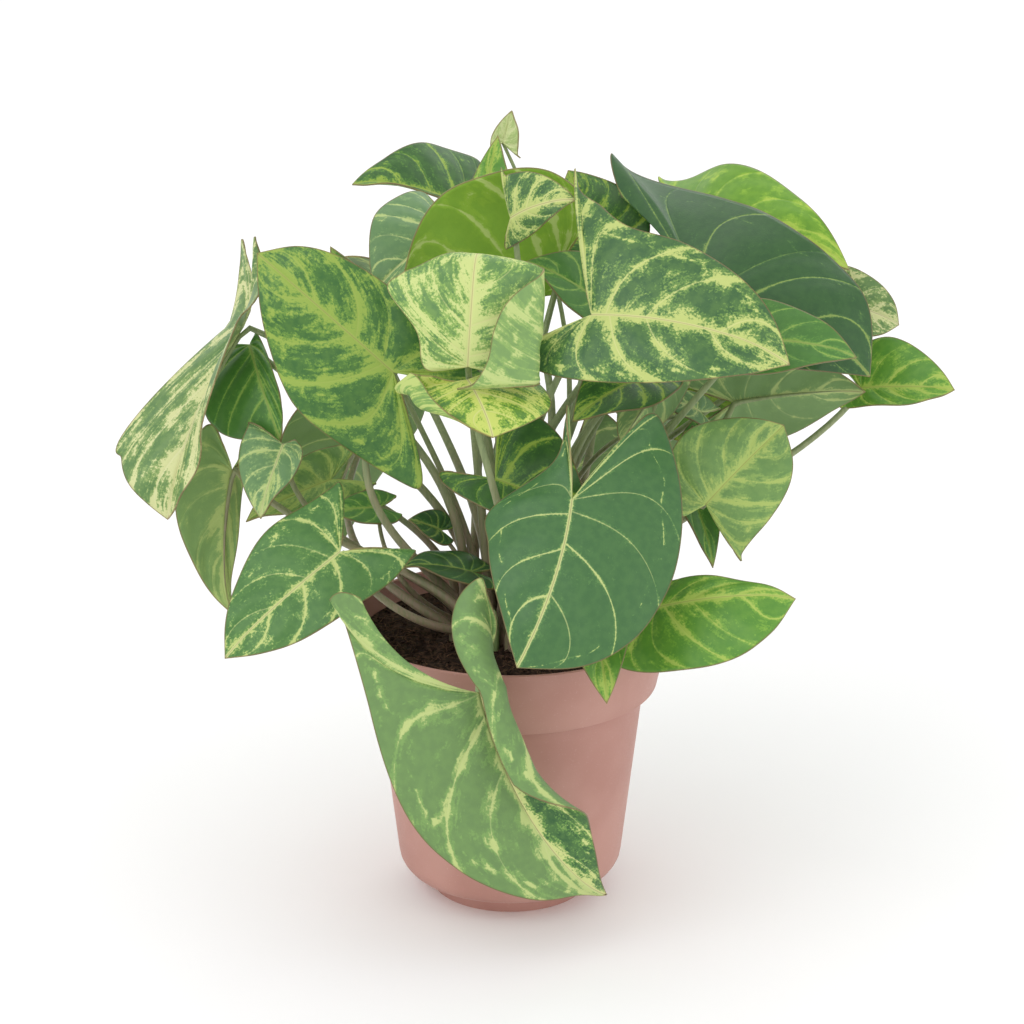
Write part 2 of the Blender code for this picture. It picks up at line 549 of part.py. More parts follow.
def bows(blade, root):
    """Bends that a stalk may take, the slightest first, as offsets of its middle in metres."""
    chord = unit(blade.base - np.array((root[0], root[1], SOIL_TOP)))
    side = unit(np.cross(chord, VIEW_NEAR))
    back = np.cross(side, chord)
    wished = np.array(blade.leaf.bow) * MM
    given = VIEW_RIGHT * wished[0] + VIEW_UP * wished[1] + VIEW_NEAR * wished[2]
    for size in BOW_SIZES:
        for turn in range(BOW_TURNS if size else 1):
            angle = 2 * math.pi * turn / BOW_TURNS
            yield given + (side * math.cos(angle) + back * math.sin(angle)) * size * MM


def room(path, radius, blade, surfaces, stalks, enough):
    """Smallest space between a stalk and the blades and stalks around it, or any below enough."""
    least = 4 * MM
    if stalks:
        other = np.vstack([points for points, _ in stalks])
        sizes = np.concatenate([sizes for _, sizes in stalks])
        squares = (path ** 2).sum(axis=1)[:, None] + (other ** 2).sum(axis=1)[None] - 2 * path @ other.T
        between = np.sqrt(np.maximum(squares, 0)) - radius[:, None] - sizes[None]
        least = min(least, between.min())
    if least < enough:
        return least
    for name, surface in surfaces.items():
        most = least + radius.max() + BLADE_THICKNESS / 2
        for index in surface.within(path, most):
            if name == blade.leaf.name and index > 0.8 * len(path):
                continue
            around = radius[index] + BLADE_THICKNESS / 2
            least = min(least, surface.distance(path[index], most) - around)
            if least < enough:
                return least
    return least


def best_course(blade, root, surfaces, stalks):
    """First bow and angle of arrival that keep a stalk clear, or the ones that leave it most room."""
    best = (-1.0, None, None)
    for turn in ARRIVE_TURNS:
        arrive = blade.leaf.arrive + turn
        for bow in bows(blade, root):
            path, radius = stalk_path(blade, root, STALK_LOOKS, bow, arrive)
            space = room(path[1:-1], radius[1:-1], blade, surfaces, stalks, best[0])
            if space > best[0]:
                best = (space, bow, arrive)
            if space > STALK_SPACE:
                return best[1:]
    return best[1:]


def stalk_courses(blades, roots):
    """Bow and angle of arrival of every stalk, chosen so that it keeps clear of what is around it."""
    surfaces = {blade.leaf.name: Surface(blade) for blade in blades}
    stalks = {}
    courses = {}
    for sweep in range(COURSE_SWEEPS):
        for blade in blades:
            name = blade.leaf.name
            root = roots[name]
            others = [stalk for other, stalk in stalks.items() if other != name]
            if name in stalks:
                path, radius = stalks[name]
                if room(path, radius, blade, surfaces, others, STALK_SPACE) > STALK_SPACE:
                    continue
            courses[name] = best_course(blade, root, surfaces, others)
            path, radius = stalk_path(blade, root, STALK_LOOKS, *courses[name])
            stalks[name] = (path[1:-1], radius[1:-1])
    return courses


def material(name, colour, roughness):
    """Plain material of one node."""
    surface = bpy.data.materials.new(name)
    surface.use_nodes = True
    shader = surface.node_tree.nodes["Principled BSDF"]
    shader.inputs["Base Color"].default_value = (*colour, 1.0)
    shader.inputs["Roughness"].default_value = roughness
    return surface


def new_object(name, mesh, surface=None):
    """Object for a mesh, in the scene."""
    piece = bpy.data.objects.new(name, mesh)
    bpy.context.scene.collection.objects.link(piece)
    if surface is not None:
        mesh.materials.append(surface)
    return piece


def hide(piece):
    """Keep a helper out of the finished part."""
    piece.hide_render = True
    piece.display_type = "WIRE"


def boolean(piece, other, operation, solver="EXACT"):
    """Join another object to a piece, or cut it away."""
    modifier = piece.modifiers.new(operation.title(), "BOOLEAN")
    modifier.operation = operation
    modifier.solver = solver
    modifier.object = other
    hide(other)


def turned_solid(name, profile, steps, surface):
    """Solid of revolution about Z from an open profile whose two ends lie on the axis."""
    mesh = bpy.data.meshes.new(name)
    mesh.from_pydata([(radius, 0.0, height) for radius, height in profile],
                     [(k, k + 1) for k in range(len(profile) - 1)], [])
    piece = new_object(name, mesh, surface)
    screw = piece.modifiers.new("Screw", "SCREW")
    screw.steps = steps
    screw.render_steps = steps
    screw.use_merge_vertices = True
    screw.merge_threshold = 0.00001
    screw.use_normal_calculate = True
    return piece


def upright_cylinders(name, places, radius, low, high, sides):
    """Cylinders standing at the places, in one mesh."""
    mesh = bpy.data.meshes.new(name)
    shape = bmesh.new()
    for x, y in places:
        made = bmesh.ops.create_cone(shape, cap_ends=True, segments=sides, radius1=radius, radius2=radius,
                                     depth=high - low)
        bmesh.ops.translate(shape, verts=made["verts"], vec=(x, y, (low + high) / 2))
    shape.to_mesh(mesh)
    shape.free()
    return new_object(name, mesh)


def pot_inside():
    """Profile of the pot's inside, from the middle of its floor to its rim."""
    wall = POT_WALL
    return (
        (0.0, FLOOR_THICKNESS), (FOOT_RADIUS - 1.2 * MM, FLOOR_THICKNESS),
        (FOOT_RADIUS + 0.4 * MM, FOOT_HEIGHT + wall + 0.5 * MM),
        (BODY_LOW_RADIUS - 5.0 * MM, 9.4 * MM), (BODY_LOW_RADIUS - 2.5 * MM, 12.0 * MM),
        (BODY_LOW_RADIUS - wall, 16.0 * MM), (BODY_TOP_RADIUS - wall, BAND_LOW_HEIGHT + 0.8 * MM),
        (BAND_LOW_RADIUS - wall - 0.2 * MM, BAND_LOW_HEIGHT + 1.2 * MM),
        (RIM_RADIUS - wall - 0.4 * MM, POT_HEIGHT - 1.6 * MM))


def make_pot():
    """Plastic pot with a flared band under its rim, a stepped foot and drain holes."""
    outside = (
        (RIM_RADIUS - 1.5 * MM, POT_HEIGHT), (RIM_RADIUS - 0.3 * MM, POT_HEIGHT),
        (RIM_RADIUS, POT_HEIGHT - 0.7 * MM),
        (BAND_LOW_RADIUS, BAND_LOW_HEIGHT), (BAND_LOW_RADIUS - 0.6 * MM, BAND_LOW_HEIGHT - 0.6 * MM),
        (BODY_TOP_RADIUS, BAND_LOW_HEIGHT - 1.0 * MM),
        (BODY_LOW_RADIUS, BODY_LOW_HEIGHT), (BODY_LOW_RADIUS - 1.4 * MM, 10.6 * MM),
        (BODY_LOW_RADIUS - 4.6 * MM, 7.4 * MM),
        (FOOT_RADIUS + 1.6 * MM, FOOT_HEIGHT), (FOOT_RADIUS + 0.4 * MM, 0.5 * MM), (FOOT_RADIUS, 0.0))
    under = ((0.0, 0.0),)
    pot = turned_solid("pot", outside + under + pot_inside() + (outside[0],), POT_STEPS,
                       material("pot_plastic", (0.42, 0.16, 0.12), 0.5))
    angles = [2 * math.pi * k / DRAIN_COUNT for k in range(DRAIN_COUNT)]
    places = [(DRAIN_CIRCLE * math.cos(angle), DRAIN_CIRCLE * math.sin(angle)) for angle in angles]
    drains = upright_cylinders("drain_cutter", places, DRAIN_RADIUS, -2 * MM, FLOOR_THICKNESS + 1 * MM, 10)
    boolean(pot, drains, "DIFFERENCE")
    return pot


def make_soil(roots):
    """Block of potting soil that fills the pot, slightly domed, with a hole for every stalk."""
    low, high = pot_inside()[-2:]
    share = (SOIL_TOP - low[1]) / (high[1] - low[1])
    edge = low[0] + (high[0] - low[0]) * share - SOIL_WALL_GAP
    top = ((0.0, SOIL_TOP + SOIL_DOME), (14 * MM, SOIL_TOP + 0.85 * SOIL_DOME),
           (30 * MM, SOIL_TOP + 0.4 * SOIL_DOME), (46 * MM, SOIL_TOP + 0.1 * SOIL_DOME), (edge, SOIL_TOP))
    wall = [(max(radius - SOIL_WALL_GAP, 0.0), height + SOIL_WALL_GAP)
            for radius, height in pot_inside()[:-1]]
    peat = material("soil_peat", (0.03, 0.02, 0.015), 0.9)
    soil = turned_solid("soil", top + tuple(wall[::-1]), POT_STEPS, peat)
    holes = upright_cylinders("hole_cutter", roots.values(), STALK_LOW_RADIUS + HOLE_CLEARANCE,
                              SOIL_TOP - STALK_BURIED - HOLE_CLEARANCE, SOIL_TOP + 3 * SOIL_DOME, HOLE_SIDES)
    boolean(soil, holes, "DIFFERENCE")
    return soil


def blade_mesh(blade):
    """Thin sheet of the blade's middle surface, in triangles."""
    corners, cells = sheet(blade, *grid_of(blade))
    shape = bmesh.new()
    made = [shape.verts.new(corner) for corner in corners]
    for cell in cells:
        shape.faces.new([made[k] for k in cell])
    bmesh.ops.remove_doubles(shape, verts=shape.verts, dist=0.02 * MM)
    bmesh.ops.triangulate(shape, faces=shape.faces)
    bmesh.ops.recalc_face_normals(shape, faces=shape.faces)
    mesh = bpy.data.meshes.new("blade")
    shape.to_mesh(mesh)
    shape.free()
    return mesh


def stalk_object(name, path, radius):
    """Round tapering stalk along a path, as a closed mesh."""
    curve = bpy.data.curves.new(name, "CURVE")
    curve.dimensions = "3D"
    curve.bevel_depth = 1.0
    curve.bevel_resolution = 1
    curve.use_fill_caps = True
    spline = curve.splines.new("POLY")
    spline.points.add(len(path) - 1)
    for point, place, size in zip(spline.points, path, radius):
        point.co = (*place, 1.0)
        point.radius = size
    drawn = bpy.data.objects.new(name + "_line", curve)
    bpy.context.scene.collection.objects.link(drawn)
    bpy.context.view_layer.update()
    mesh = bpy.data.meshes.new_from_object(drawn.evaluated_get(bpy.context.evaluated_depsgraph_get()))
    bpy.data.objects.remove(drawn)
    shape = bmesh.new()
    shape.from_mesh(mesh)
    bmesh.ops.remove_doubles(shape, verts=shape.verts, dist=0.001 * MM)
    bmesh.ops.recalc_face_normals(shape, faces=shape.faces)
    shape.to_mesh(mesh)
    shape.free()
    return new_object(name, mesh)


def make_leaf(blade, root, course, surface):
    """Leaf node: the blade given its thickness, joined to its stalk."""
    name = blade.leaf.name
    piece = new_object(name, blade_mesh(blade), surface)
    solidify = piece.modifiers.new("Thickness", "SOLIDIFY")
    solidify.thickness = BLADE_THICKNESS
    solidify.offset = 0.0
    path, radius = stalk_path(blade, root, STALK_POINTS, *course)
    stalk = stalk_object(name + "_stalk", path, radius)
    boolean(piece, stalk, "UNION", "MANIFOLD")
    return piece


for old in list(bpy.data.objects):
    bpy.data.objects.remove(old)

blades = [Blade(leaf) for leaf in LEAVES]
settle(blades)
roots = rooted(blades)
courses = stalk_courses(blades, roots)
make_pot()
make_soil(roots)
for blade in blades:
    name = blade.leaf.name
    make_leaf(blade, roots[name], courses[name], material(name, (0.09, 0.24, 0.07), 0.45))
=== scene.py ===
"""Looks of a potted arrowhead vine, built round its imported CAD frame.

Lengths are in metres, +Z is up and the pot's axis stands at the origin. Every leaf is placed by where
its two ends are seen in a view from the front, in millimetres right, up and towards the viewer, and
its stalk takes the same course as its CAD solid.
"""
import json
import logging
import math
import random
from collections.abc import Iterator, Sequence
from dataclasses import dataclass, field, replace
from enum import Enum
from itertools import combinations

import bmesh
import bpy
import numpy as np
from mathutils import Matrix, Vector, noise
from mathutils.bvhtree import BVHTree

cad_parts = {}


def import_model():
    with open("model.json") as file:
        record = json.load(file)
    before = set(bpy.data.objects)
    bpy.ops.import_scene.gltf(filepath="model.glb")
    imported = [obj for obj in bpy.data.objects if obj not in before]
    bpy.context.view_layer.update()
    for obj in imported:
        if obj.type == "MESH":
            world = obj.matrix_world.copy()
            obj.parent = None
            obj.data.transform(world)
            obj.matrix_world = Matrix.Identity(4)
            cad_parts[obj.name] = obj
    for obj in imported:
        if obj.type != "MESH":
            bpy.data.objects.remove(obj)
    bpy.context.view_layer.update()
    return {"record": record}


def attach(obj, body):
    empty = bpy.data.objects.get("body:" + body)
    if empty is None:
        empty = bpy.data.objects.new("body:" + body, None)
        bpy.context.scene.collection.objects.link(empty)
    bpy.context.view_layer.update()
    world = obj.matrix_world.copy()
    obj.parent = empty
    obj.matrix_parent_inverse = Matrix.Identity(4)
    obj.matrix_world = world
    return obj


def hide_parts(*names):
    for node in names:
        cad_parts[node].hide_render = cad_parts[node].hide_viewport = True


LOG = logging.getLogger("potted_vine")
MM = 0.001
MM_PER_CM = 10.0
CM_PER_M = 100.0
MERGED = 0.01 * MM
FULL_TURN = 2 * math.pi

Colour = tuple[float, float, float]
Socket = bpy.types.NodeSocket


def tone(red: int, green: int, blue: int) -> Colour:
    """Linear colour of one given in screen values from 0 to 255, by the screens' own curve."""
    shares = (value / 255 for value in (red, green, blue))
    return tuple(s / 12.92 if s <= 0.04045 else ((s + 0.055) / 1.055) ** 2.4 for s in shares)


def blended(first: Colour, second: Colour, share: float) -> Colour:
    """Colour between two others, the first one at share 0 and the second one at share 1."""
    return tuple(a + (b - a) * share for a, b in zip(first, second))


# --- shader graphs ---


class Graph:
    """A node tree with short ways to place the nodes that the finishes use."""

    def __init__(self, tree: bpy.types.NodeTree) -> None:
        """Keep the tree of a material or of a group, which the nodes are added to."""
        self.tree = tree

    def node(self, kind: str, **values: object) -> bpy.types.Node:
        """Add a node.

        Args:
            kind: Blender's name of the node's type, without its ShaderNode prefix.
            **values: Properties set on the node.

        Returns:
            The new node.
        """
        made = self.tree.nodes.new("ShaderNode" + kind)
        for name, value in values.items():
            setattr(made, name, value)
        return made

    def feed(self, socket: Socket, value: object) -> None:
        """Link another socket to a socket, or set the socket's own value.

        Args:
            socket: Input that is fed.
            value: An output socket, a number, or a vector or colour.
        """
        if isinstance(value, bpy.types.NodeSocket):
            self.tree.links.new(value, socket)
        elif isinstance(value, tuple) and len(value) == 3 and socket.type == "RGBA":
            socket.default_value = (*value, 1.0)
        else:
            socket.default_value = value

    def fed(self, kind: str, inputs: dict[str | int, object], **values: object) -> Socket:
        """Add a node and feed it.

        Args:
            kind: Blender's name of the node's type, without its ShaderNode prefix.
            inputs: What feeds its inputs, by name or place.
            **values: Properties set on the node.

        Returns:
            The node's first output.
        """
        made = self.node(kind, **values)
        for name, value in inputs.items():
            self.feed(made.inputs[name], value)
        return made.outputs[0]

    def math(self, operation: str, *values: object) -> Socket:
        """Add a Math node whose inputs take the values in order."""
        return self.fed("Math", dict(enumerate(values)), operation=operation)

    def times(self, first: object, second: object) -> Socket:
        """Multiply two values."""
        return self.math("MULTIPLY", first, second)

    def plus(self, first: object, second: object) -> Socket:
        """Add two values."""
        return self.math("ADD", first, second)

    def minus(self, first: object, second: object) -> Socket:
        """Take the second value from the first."""
        return self.math("SUBTRACT", first, second)

    def greater(self, first: object, second: object) -> Socket:
        """Greater one of two values."""
        return self.math("MAXIMUM", first, second)

    def vector(self, x: object, y: object, z: object = 0.0) -> Socket:
        """Put three numbers or sockets together as a vector."""
        return self.fed("CombineXYZ", {0: x, 1: y, 2: z})

    def parted(self, vector: Socket) -> Sequence[Socket]:
        """Part a vector into its three numbers."""
        made = self.node("SeparateXYZ")
        self.feed(made.inputs[0], vector)
        return made.outputs

    def step(self, value: object, low: object, high: object, to_low: float = 0.0,
             to_high: float = 1.0) -> Socket:
        """Ease a value from one level to another, between a low and a high limit."""
        return self.fed("MapRange", {"Value": value, "From Min": low, "From Max": high, "To Min": to_low,
                                     "To Max": to_high}, interpolation_type="SMOOTHSTEP")

    def noise(self, vector: Socket, scale: object, detail: float = 2.0, roughness: float = 0.5) -> Socket:
        """Add cloudy noise, about 0.5 on average, with finer layers of detail."""
        return self.fed("TexNoise", {"Vector": vector, "Scale": scale, "Detail": detail,
                                     "Roughness": roughness}, noise_dimensions="3D")

    def mix(self, share: object, first: object, second: object) -> Socket:
        """Mix two colours.

        Args:
            share: Share of the second one.
            first: First colour.
            second: Second colour.

        Returns:
            The mixed colour.
        """
        made = self.node("Mix", data_type="RGBA")
        colours = [socket for socket in made.inputs if socket.type == "RGBA"]
        self.feed(made.inputs[0], share)
        self.feed(colours[0], first)
        self.feed(colours[1], second)
        return next(socket for socket in made.outputs if socket.type == "RGBA")

    def bump(self, height: Socket, strength: float, distance: float) -> Socket:
        """Turn a height into a normal, with the height of a full step in metres."""
        return self.fed("Bump", {"Strength": strength, "Distance": distance, "Height": height})


class Group:
    """A shader node group, built once and placed in many materials."""

    def __init__(self, name: str, takes: dict[str, object], gives: dict[str, str]) -> None:
        """Make an empty group with its sockets.

        Args:
            name: Name of the group.
            takes: Default of each input, a number or a colour.
            gives: Socket type of each output.
        """
        self.tree = bpy.data.node_groups.new(name, "ShaderNodeTree")
        for label, default in takes.items():
            kind = "NodeSocketColor" if isinstance(default, tuple) else "NodeSocketFloat"
            made = self.tree.interface.new_socket(name=label, in_out="INPUT", socket_type=kind)
            made.default_value = (*default, 1.0) if isinstance(default, tuple) else default
        for label, kind in gives.items():
            self.tree.interface.new_socket(name=label, in_out="OUTPUT", socket_type=kind)
        self.graph = Graph(self.tree)
        self.taken = self.graph.tree.nodes.new("NodeGroupInput").outputs
        self.given = self.graph.tree.nodes.new("NodeGroupOutput").inputs

    def place(self, graph: Graph, values: dict[str, object]) -> dict[str, Socket]:
        """Place the group in a material.

        Args:
            graph: Graph of the material.
            values: What feeds each input.

        Returns:
            The group's outputs by name.
        """
        made = graph.node("Group", node_tree=self.tree)
        for name, value in values.items():
            graph.feed(made.inputs[name], value)
        return {socket.name: socket for socket in made.outputs}


LEAF_MARKS = {
    "Dark": (0.05, 0.1, 0.04), "Mid": (0.1, 0.2, 0.06), "Pale": (0.5, 0.6, 0.3), "Line": (0.6, 0.65, 0.4),
    "Edge": (0.2, 0.12, 0.08), "Spread": 2.0, "Cover": 0.0, "Streaks": 1.0, "Specks": 1.0, "Ring": 0.5,
    "Lines": 0.6, "Rib": 1.0, "Blotches": 1.0,
}


@dataclass(frozen=True)
class LeafPattern:
    """Sizes of the pattern of a variegated leaf.

    Distances are in millimetres on the flat leaf, a reach is a share of the way out to the margin, and
    a noise has its scale, detail and roughness. Pairs are where a mark starts and where it is full.
    """

    ring_reach: float = 0.83
    ring_wave: float = 0.025
    ring_spread: float = 0.6
    ring_noise: tuple[float, float] = (0.22, 2.0)
    ring_gaps: tuple[float, float] = (0.4, 0.6)
    rib_spread: float = 1.25
    margin_spread: float = 0.6
    weakest_vein: float = 0.5
    streak_stretch: tuple[float, float] = (6.0, 3.2)
    streak_place: float = 3.0
    streak_noise: tuple[float, float, float] = (1.0, 4.0, 0.62)
    speck_noise: tuple[float, float, float] = (1.15, 3.0, 0.7)
    blotch_noise: tuple[float, float, float] = (0.13, 2.0, 0.5)
    amounts: tuple[float, float, float] = (1.5, 1.3, 1.6)
    middling: tuple[float, float] = (0.2, 0.42)
    paling: tuple[float, float] = (0.46, 0.74)
    hue_noise: tuple[float, float] = (0.35, 2.0)
    hue_steps: tuple[float, float] = (0.3, 0.7)
    hue_share: float = 0.35
    line_widths: tuple[float, float] = (0.34, 0.16)
    line_core: float = 0.5
    line_ends: tuple[float, float] = (0.8, 0.9)
    rib_width: tuple[float, float] = (0.3, 0.75)
    cord_width: tuple[float, float] = (0.08, 0.22)
    cord_share: float = 0.55
    edge_width: tuple[float, float] = (0.12, 0.5)
    edge_share: float = 0.75
    vein_groove: tuple[float, float] = (0.1, 0.9)
    vein_depth: float = 0.6
    rib_groove: tuple[float, float] = (0.2, 1.1)
    fine_noise: tuple[float, float] = (1.9, 2.0)
    fine_share: float = 0.35

    def group(self) -> Group:
        """Build the pattern from the UV maps of a blade.

        Returns:
            The group. It reads the maps "lane" (lateral vein number and reach), "flat" (place on the
            flat leaf, in centimetres) and "gauge" (width of a lane and of the half blade, in centimetres).
        """
        group = Group("leaf_skin", {**LEAF_MARKS, "Seed": 0.0},
                      {"Color": "NodeSocketColor", "Height": "NodeSocketFloat", "Pattern": "NodeSocketFloat"})
        g, take = group.graph, group.taken
        lane_map, flat_map, gauge_map = (
            g.parted(g.node("UVMap", uv_map=name).outputs[0]) for name in ("lane", "flat", "gauge"))
        lane, reach = lane_map[0], lane_map[1]
        along, across = (g.times(flat_map[k], MM_PER_CM) for k in (0, 1))
        lane_width, half_width = (g.times(gauge_map[k], MM_PER_CM) for k in (0, 1))

        number = g.math("ROUND", lane)
        lateral = g.times(g.math("ABSOLUTE", g.minus(lane, number)), lane_width)
        behind = g.math("MINIMUM", along, 0.0)
        rib = g.math("SQRT", g.plus(g.math("POWER", across, 2.0), g.math("POWER", behind, 2.0)))
        waved = g.plus(reach, g.times(g.math("COSINE", g.times(lane, FULL_TURN)), self.ring_wave))
        ring = g.times(g.math("ABSOLUTE", g.minus(waved, self.ring_reach)), half_width)
        margin = g.times(g.minus(1.0, reach), half_width)

        chance = g.node("TexWhiteNoise", noise_dimensions="2D")
        g.feed(chance.inputs["Vector"], g.vector(number, take["Seed"]))
        strength = g.step(chance.outputs["Value"], 0.0, 1.0, self.weakest_vein, 1.0)
        flat = g.vector(along, across, take["Seed"])
        stretched = g.vector(g.times(lane, self.streak_stretch[0]), g.times(reach, self.streak_stretch[1]),
                             g.plus(take["Seed"], self.streak_place))
        marks = (g.noise(stretched, *self.streak_noise), g.noise(flat, *self.speck_noise),
                 g.noise(flat, *self.blotch_noise))

        def nearness(distance: Socket, spread: Socket, full: object) -> Socket:
            """Fall from a full value on a vein towards nothing beside it."""
            return g.times(g.math("EXPONENT", g.times(g.math("DIVIDE", distance, spread), -1.0)), full)

        spread = take["Spread"]
        narrowing = g.times(spread, g.step(reach, 0.0, 1.0, 1.0, self.margin_spread))
        near = g.greater(nearness(lateral, narrowing, strength),
                         nearness(rib, g.times(spread, self.rib_spread), 1.0))
        ringed = g.times(take["Ring"], g.step(g.noise(flat, *self.ring_noise), *self.ring_gaps))
        near = g.greater(near, nearness(ring, g.times(spread, self.ring_spread), ringed))
        level = g.plus(near, take["Cover"])
        for mark, amount, name in zip(marks, self.amounts, ("Streaks", "Specks", "Blotches")):
            level = g.plus(level, g.times(g.times(g.minus(mark, 0.5), amount), take[name]))
        paling = g.step(level, *self.paling)
        hue = g.step(g.noise(flat, *self.hue_noise), *self.hue_steps)
        colour = g.mix(g.times(hue, self.hue_share), take["Dark"], take["Mid"])
        colour = g.mix(g.step(level, *self.middling), colour, take["Mid"])
        colour = g.mix(paling, colour, take["Pale"])
        thin = g.step(reach, 0.0, 1.0, *self.line_widths)
        lines = g.step(lateral, g.times(thin, self.line_core), thin, 1.0, 0.0)
        lines = g.times(g.times(lines, strength), take["Lines"])
        lines = g.times(lines, g.step(reach, *self.line_ends, 1.0, 0.0))
        ribbed = g.times(g.step(rib, *self.rib_width, 1.0, 0.0), take["Rib"])
        colour = g.mix(g.greater(lines, ribbed), colour, take["Line"])
        cord = g.times(g.step(rib, *self.cord_width, self.cord_share, 0.0), take["Rib"])
        colour = g.mix(cord, colour, take["Edge"])
        colour = g.mix(g.step(margin, *self.edge_width, self.edge_share, 0.0), colour, take["Edge"])
        g.feed(group.given["Color"], colour)

        groove = g.greater(g.times(g.step(lateral, *self.vein_groove, 1.0, 0.0), self.vein_depth),
                           g.step(rib, *self.rib_groove, 1.0, 0.0))
        fine = g.times(g.noise(flat, *self.fine_noise), self.fine_share)
        g.feed(group.given["Height"], g.minus(fine, groove))
        g.feed(group.given["Pattern"], paling)
        return group


def grain_group() -> Group:
    """Build fine grain on Object coordinates, for moulded plastic and soil.

    Returns:
        The group, with a fine and a broad value.
    """
    group = Group("grain", {"Fine scale": 900.0, "Broad scale": 30.0},
                  {"Fine": "NodeSocketFloat", "Broad": "NodeSocketFloat"})
    place = group.graph.node("TexCoord").outputs["Object"]
    for name in ("Fine", "Broad"):
        grain = group.graph.noise(place, group.taken[name + " scale"], detail=3.0)
        group.graph.feed(group.given[name], grain)
    return group


@dataclass(frozen=True)
class Effects:
    """The shared shader groups: the pattern of a leaf, and the grain of plastic and soil."""

    skin: Group = field(default_factory=LeafPattern().group)
    grain: Group = field(default_factory=grain_group)


# --- finishes ---


@dataclass(frozen=True)
class Finish:
    """What every finish has: a gloss, and a way to start its material."""

    roughness: float = 0.5
    specular: float = 0.5

    def begin(self, name: str) -> tuple[bpy.types.Material, Graph, bpy.types.Node]:
        """Start a material with its plain shader.

        Args:
            name: Name of the material.

        Returns:
            The material, its graph and its shader node.
        """
        surface = bpy.data.materials.new(name)
        surface.use_nodes = True
        shader = surface.node_tree.nodes["Principled BSDF"]
        shader.inputs["Roughness"].default_value = self.roughness
        shader.inputs["Specular IOR Level"].default_value = self.specular
        return surface, Graph(surface.node_tree), shader

    def uneven(self, graph: Graph, value: Socket, low: float, high: float,
               change: tuple[float, float]) -> Socket:
        """Vary the roughness with a value that runs from low to high."""
        return graph.step(value, low, high, self.roughness + change[0], self.roughness + change[1])


@dataclass(frozen=True)
class LeafFinish(Finish):
    """Colours and marks of one face of a leaf.

    Spread is how far the pale part reaches from a vein, in millimetres. The lower face mixes its greens
    with the veil.
    """

    dark: Colour = tone(60, 105, 49)
    mid: Colour = tone(98, 141, 66)
    pale: Colour = tone(186, 199, 118)
    line: Colour = tone(201, 207, 139)
    edge: Colour = tone(133, 109, 74)
    spread: float = 2.2
    cover: float = 0.0
    streaks: float = 1.0
    specks: float = 1.0
    ring: float = 0.5
    lines: float = 0.45
    rib: float = 0.8
    blotches: float = 1.0
    roughness: float = 0.44
    specular: float = 0.4
    gloss_change: tuple[float, float] = (-0.04, 0.06)
    relief: float = 0.5
    relief_height: float = 0.25 * MM
    veil: Colour = tone(141, 171, 108)
    veil_share: float = 0.5
    pale_below: Colour = tone(177, 196, 126)
    line_below: Colour = tone(184, 199, 138)
    below_share: float = 0.6

    def underside(self) -> "LeafFinish":
        """Finish of the lower face: greyer, paler and duller, with fainter marks."""
        return replace(
            self, dark=blended(self.dark, self.veil, self.veil_share),
            mid=blended(self.mid, self.veil, self.veil_share),
            pale=blended(self.pale, self.pale_below, self.below_share),
            line=blended(self.line, self.line_below, self.below_share),
            roughness=0.55, specular=0.3, specks=self.specks * 0.5, lines=self.lines * 0.8)

    def material(self, name: str, seed: float, effects: Effects) -> bpy.types.Material:
        """Make the material of one face.

        Args:
            name: Name of the material.
            seed: What sets this leaf's marks apart from another's.
            effects: The shared shader groups.

        Returns:
            The material.
        """
        surface, graph, shader = self.begin(name)
        values = {label: getattr(self, label.lower()) for label in LEAF_MARKS}
        marks = effects.skin.place(graph, {**values, "Seed": seed})
        graph.feed(shader.inputs["Base Color"], marks["Color"])
        gloss = self.uneven(graph, marks["Pattern"], 0.0, 1.0, self.gloss_change)
        graph.feed(shader.inputs["Roughness"], gloss)
        graph.feed(shader.inputs["Normal"], graph.bump(marks["Height"], self.relief, self.relief_height))
        return surface


@dataclass(frozen=True)
class StalkFinish(Finish):
    """Colour of a stalk from the soil up to its blade."""

    low: Colour = tone(150, 126, 110)
    high: Colour = tone(138, 152, 104)
    low_height: float = 0.1
    high_height: float = 0.19
    wander: float = 0.06
    patch_noise: tuple[float, float] = (60.0, 2.0)
    strand_noise: tuple[float, float] = (900.0, 3.0)
    strand_length: tuple[float, float, float] = (1.0, 1.0, 0.06)
    strand_steps: tuple[float, float] = (0.42, 0.62)
    strand_tint: tuple[Colour, float] = (tone(84, 104, 62), 0.6)
    strand_share: float = 0.5
    relief: float = 0.3
    relief_height: float = 0.15 * MM
    roughness: float = 0.42

    def material(self, name: str) -> bpy.types.Material:
        """Make the material.

        Args:
            name: Name of the material.

        Returns:
            The material.
        """
        surface, graph, shader = self.begin(name)
        place = graph.node("TexCoord").outputs["Object"]
        drawn = graph.fed("Mapping", {"Vector": place, "Scale": self.strand_length})
        strand = graph.noise(drawn, *self.strand_noise)
        patch = graph.noise(place, *self.patch_noise)
        height = graph.plus(graph.parted(place)["Z"], graph.times(graph.minus(patch, 0.5), self.wander))
        colour = graph.mix(graph.step(height, self.low_height, self.high_height), self.low, self.high)
        striped = graph.step(strand, *self.strand_steps, 0.0, self.strand_share)
        colour = graph.mix(striped, colour, blended(self.high, *self.strand_tint))
        graph.feed(shader.inputs["Base Color"], colour)
        graph.feed(shader.inputs["Normal"], graph.bump(strand, self.relief, self.relief_height))
        return surface


